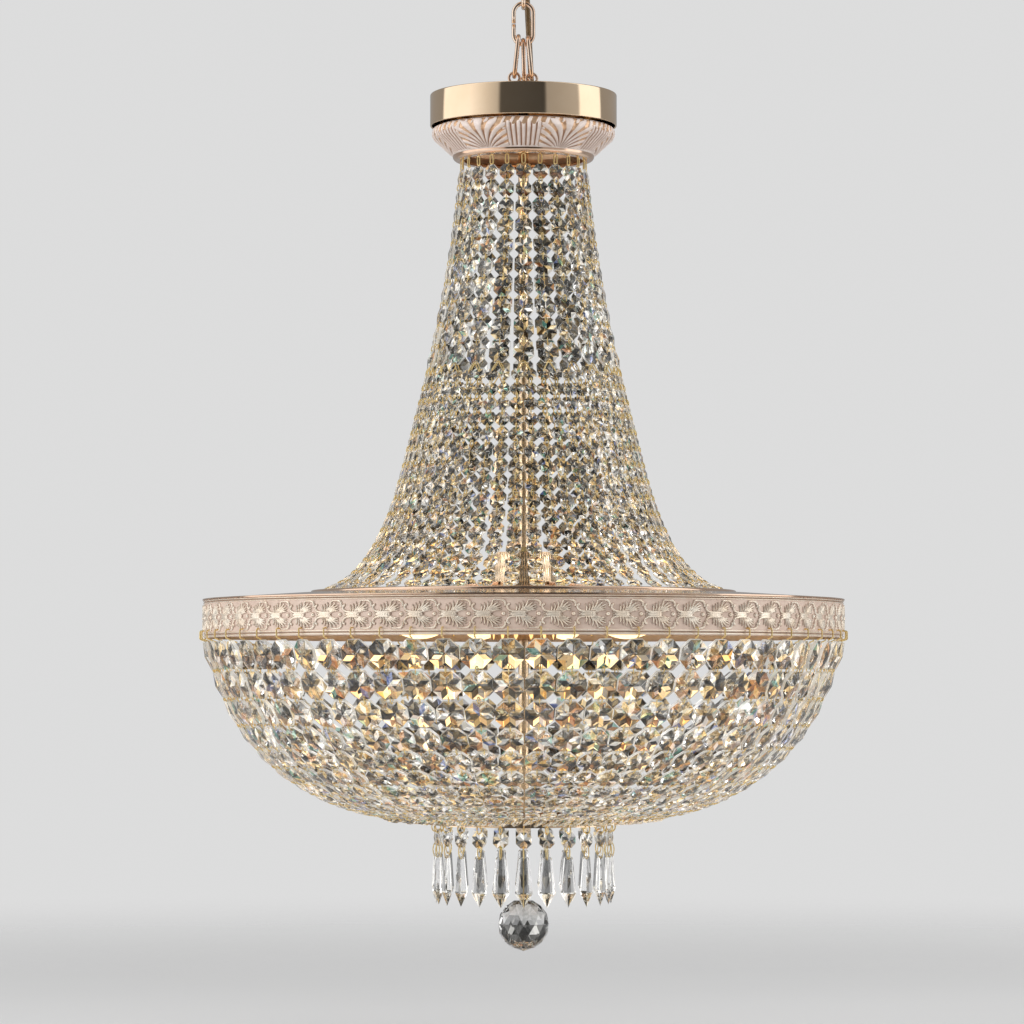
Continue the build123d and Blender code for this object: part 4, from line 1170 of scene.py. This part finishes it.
def cut_ball():
    """A ball of flat facets: rings of points on the sphere, each turned half a step from the one
    above, joined in triangles, with a flat lid and a pointed foot."""
    sides = 14
    latitude = np.radians([68, 46, 24, 2, -20, -42, -64])[:, None]
    rows = len(latitude)
    turn = (np.arange(sides) + 0.5 * (np.arange(rows)[:, None] % 2)) * 2 * pi / sides
    ring = ball_radius * np.cos(latitude)
    height = ball_centre + ball_radius * np.sin(latitude) + 0 * turn
    points = np.stack([ring * np.cos(turn), ring * np.sin(turn), height], axis=-1).reshape(-1, 3)
    points = np.vstack([points, (0, 0, ball_low.z)])
    n, i = np.meshgrid(np.arange(rows - 1), np.arange(sides), indexing="ij")
    a, b = n * sides + i, n * sides + (i + 1) % sides
    c, d = a + sides, b + sides
    odd = (n % 2).astype(bool)
    first = np.where(odd[..., None], np.stack([a, d, b], -1), np.stack([a, c, b], -1))
    second = np.where(odd[..., None], np.stack([a, c, d], -1), np.stack([b, c, d], -1))
    foot = (rows - 1) * sides + np.arange(sides)
    next_foot = (rows - 1) * sides + (np.arange(sides) + 1) % sides
    tip = np.stack([foot, next_foot, 0 * foot + rows * sides], -1)
    triangles = np.concatenate([first.reshape(-1, 3), second.reshape(-1, 3), tip])
    lid = np.arange(sides)[None]
    faces = outward_faces(points - (0, 0, ball_centre), [triangles, lid])
    # painted reflection: clear, painted grey and painted dark facets stand for what the ball reflects inside
    tones = 0.25 + 0.30 * chance.random(len(triangles) + 1)
    piece = put_mesh("ball_cut", points, faces, False, [drop_glass], {"facet": ("FACE", tones)})
    return stand_in(piece, "ball", "crystal", "crystal_ball")


cut_ball()

# ---- Stage and light ----
floor_drop = 0.12
floor_reach = 6.0
pale_wall = 0.72


def plain_floor():
    """A flat, matte, pale floor under the ball that fades into the pale room."""
    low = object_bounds()[0][2] - floor_drop
    turn = np.arange(96) * 2 * pi / 96
    points = np.stack([floor_reach * np.cos(turn), floor_reach * np.sin(turn), 0 * turn + low], axis=1)
    material = paint("floor_paint", (0.70, 0.70, 0.70), (0.74, 0.74, 0.74), 0.8, 0.7, grain=0.02)
    tree = material.node_tree
    place = tree.nodes.new("ShaderNodeTexCoord")
    flat = tree.nodes.new("ShaderNodeVectorMath")
    flat.operation = "MULTIPLY"
    flat.inputs[1].default_value = (1.0, 1.0, 0.0)
    far = tree.nodes.new("ShaderNodeVectorMath")
    far.operation = "LENGTH"
    link(tree, place.outputs["Object"], flat.inputs[0])
    link(tree, flat.outputs["Vector"], far.inputs[0])
    fade = tree.nodes.new("ShaderNodeMapRange")
    fade.interpolation_type = "SMOOTHSTEP"
    for key, value in (("From Min", 0.9), ("From Max", 3.2), ("To Min", 1.0), ("To Max", 0.0)):
        fade.inputs[key].default_value = value
    link(tree, far.outputs["Value"], fade.inputs["Value"])
    link(tree, fade.outputs["Result"], tree.nodes["Principled BSDF"].inputs["Alpha"])
    floor = put_mesh("studio_floor", points, [np.arange(96)[None]], False, [material])


mirror_walls = [
    # bearing from the camera's side in degrees, brightness of the room there in a mirror
    (-180, 0.34),
    (-118, 0.30),
    (-114, 1.25),
    (-70, 1.15),
    (-32, 0.55),
    (-28, 0.09),
    (26, 0.06),
    (29, 0.36),
    (71, 0.48),
    (74, 1.30),
    (108, 1.30),
    (111, 0.30),
    (180, 0.34),
]
glass_walls = [(0.0, 0.01), (0.44, 0.02), (0.50, 0.06), (0.56, 0.15), (0.62, 0.60), (0.70, 1.3)]


def grey(level):
    return (level, level, level)


def studio_world():
    """A pale room that the camera sees plain. Metal and glass are shown other rooms than that: in
    mirrors bright and dark bands by the bearing of the ray, and through glass a dark room with bright
    patches. Both make contrast that the plain room wouldn't give."""
    world = bpy.data.worlds.new("studio")
    bpy.context.scene.world = world
    world.use_nodes = True
    tree = world.node_tree
    tree.nodes.clear()
    out = tree.nodes.new("ShaderNodeOutputWorld")
    place = tree.nodes.new("ShaderNodeTexCoord")
    split = tree.nodes.new("ShaderNodeSeparateXYZ")
    link(tree, place.outputs["Generated"], split.inputs["Vector"])
    back = tree.nodes.new("ShaderNodeMath")
    back.operation = "MULTIPLY"
    back.inputs[1].default_value = -1.0
    link(tree, split.outputs["Y"], back.inputs[0])
    bearing = tree.nodes.new("ShaderNodeMath")
    bearing.operation = "ARCTAN2"
    link(tree, split.outputs["X"], bearing.inputs[0])
    link(tree, back.outputs[0], bearing.inputs[1])
    turn = tree.nodes.new("ShaderNodeMapRange")
    turn.inputs["From Min"].default_value = -pi
    turn.inputs["From Max"].default_value = pi
    link(tree, bearing.outputs[0], turn.inputs["Value"])
    seen = ramp_node(tree, [((angle + 180) / 360, grey(level)) for angle, level in mirror_walls])
    link(tree, turn.outputs["Result"], seen.inputs["Fac"])
    patches = tree.nodes.new("ShaderNodeTexNoise")
    patches.inputs["Scale"].default_value = 2.6
    patches.inputs["Detail"].default_value = 1.0
    link(tree, place.outputs["Generated"], patches.inputs["Vector"])
    broken = ramp_node(tree, [(at, (level, level * 0.985, level * 0.95)) for at, level in glass_walls])
    link(tree, patches.outputs["Fac"], broken.inputs["Fac"])
    mirror, glass, soft, straight = (tree.nodes.new("ShaderNodeBackground") for _ in range(4))
    link(tree, seen.outputs["Color"], mirror.inputs["Color"])
    link(tree, broken.outputs["Color"], glass.inputs["Color"])
    soft.inputs["Color"].default_value = (*grey(0.55), 1.0)
    straight.inputs["Color"].default_value = (*grey(pale_wall), 1.0)
    path = tree.nodes.new("ShaderNodeLightPath")
    shaders = soft.outputs[0]
    for ray, shader in (
        ("Is Glossy Ray", mirror),
        ("Is Transmission Ray", glass),
        ("Is Camera Ray", straight),
    ):
        mix = tree.nodes.new("ShaderNodeMixShader")
        link(tree, path.outputs[ray], mix.inputs["Fac"])
        link(tree, shaders, mix.inputs[1])
        link(tree, shader.outputs[0], mix.inputs[2])
        shaders = mix.outputs[0]
    link(tree, shaders, out.inputs["Surface"])


def soft_box(name, place, aim, size, power):
    """A rectangular softbox that looks at a point."""
    light = bpy.data.lights.new(name, "AREA")
    light.shape = "RECTANGLE"
    light.size, light.size_y = size
    light.energy = power
    lamp = put_object(name, light)
    lamp.location = place
    lamp.rotation_euler = (Vector(aim) - Vector(place)).to_track_quat("-Z", "Y").to_euler()
    lamp.visible_glossy = False


plain_floor()
studio_world()
middle = (0.0, 0.0, ring_top + 0.1)
soft_box("left_box", (-2.4, -1.3, ring_top + 0.5), middle, (1.6, 2.4), 45.0)
soft_box("right_box", (2.6, -0.5, ring_top + 0.5), middle, (0.8, 2.4), 32.0)
soft_box("top_box", (0.4, -1.2, 2.0), middle, (2.0, 2.0), 30.0)

scene = bpy.context.scene
scene.view_settings.view_transform = "Standard"
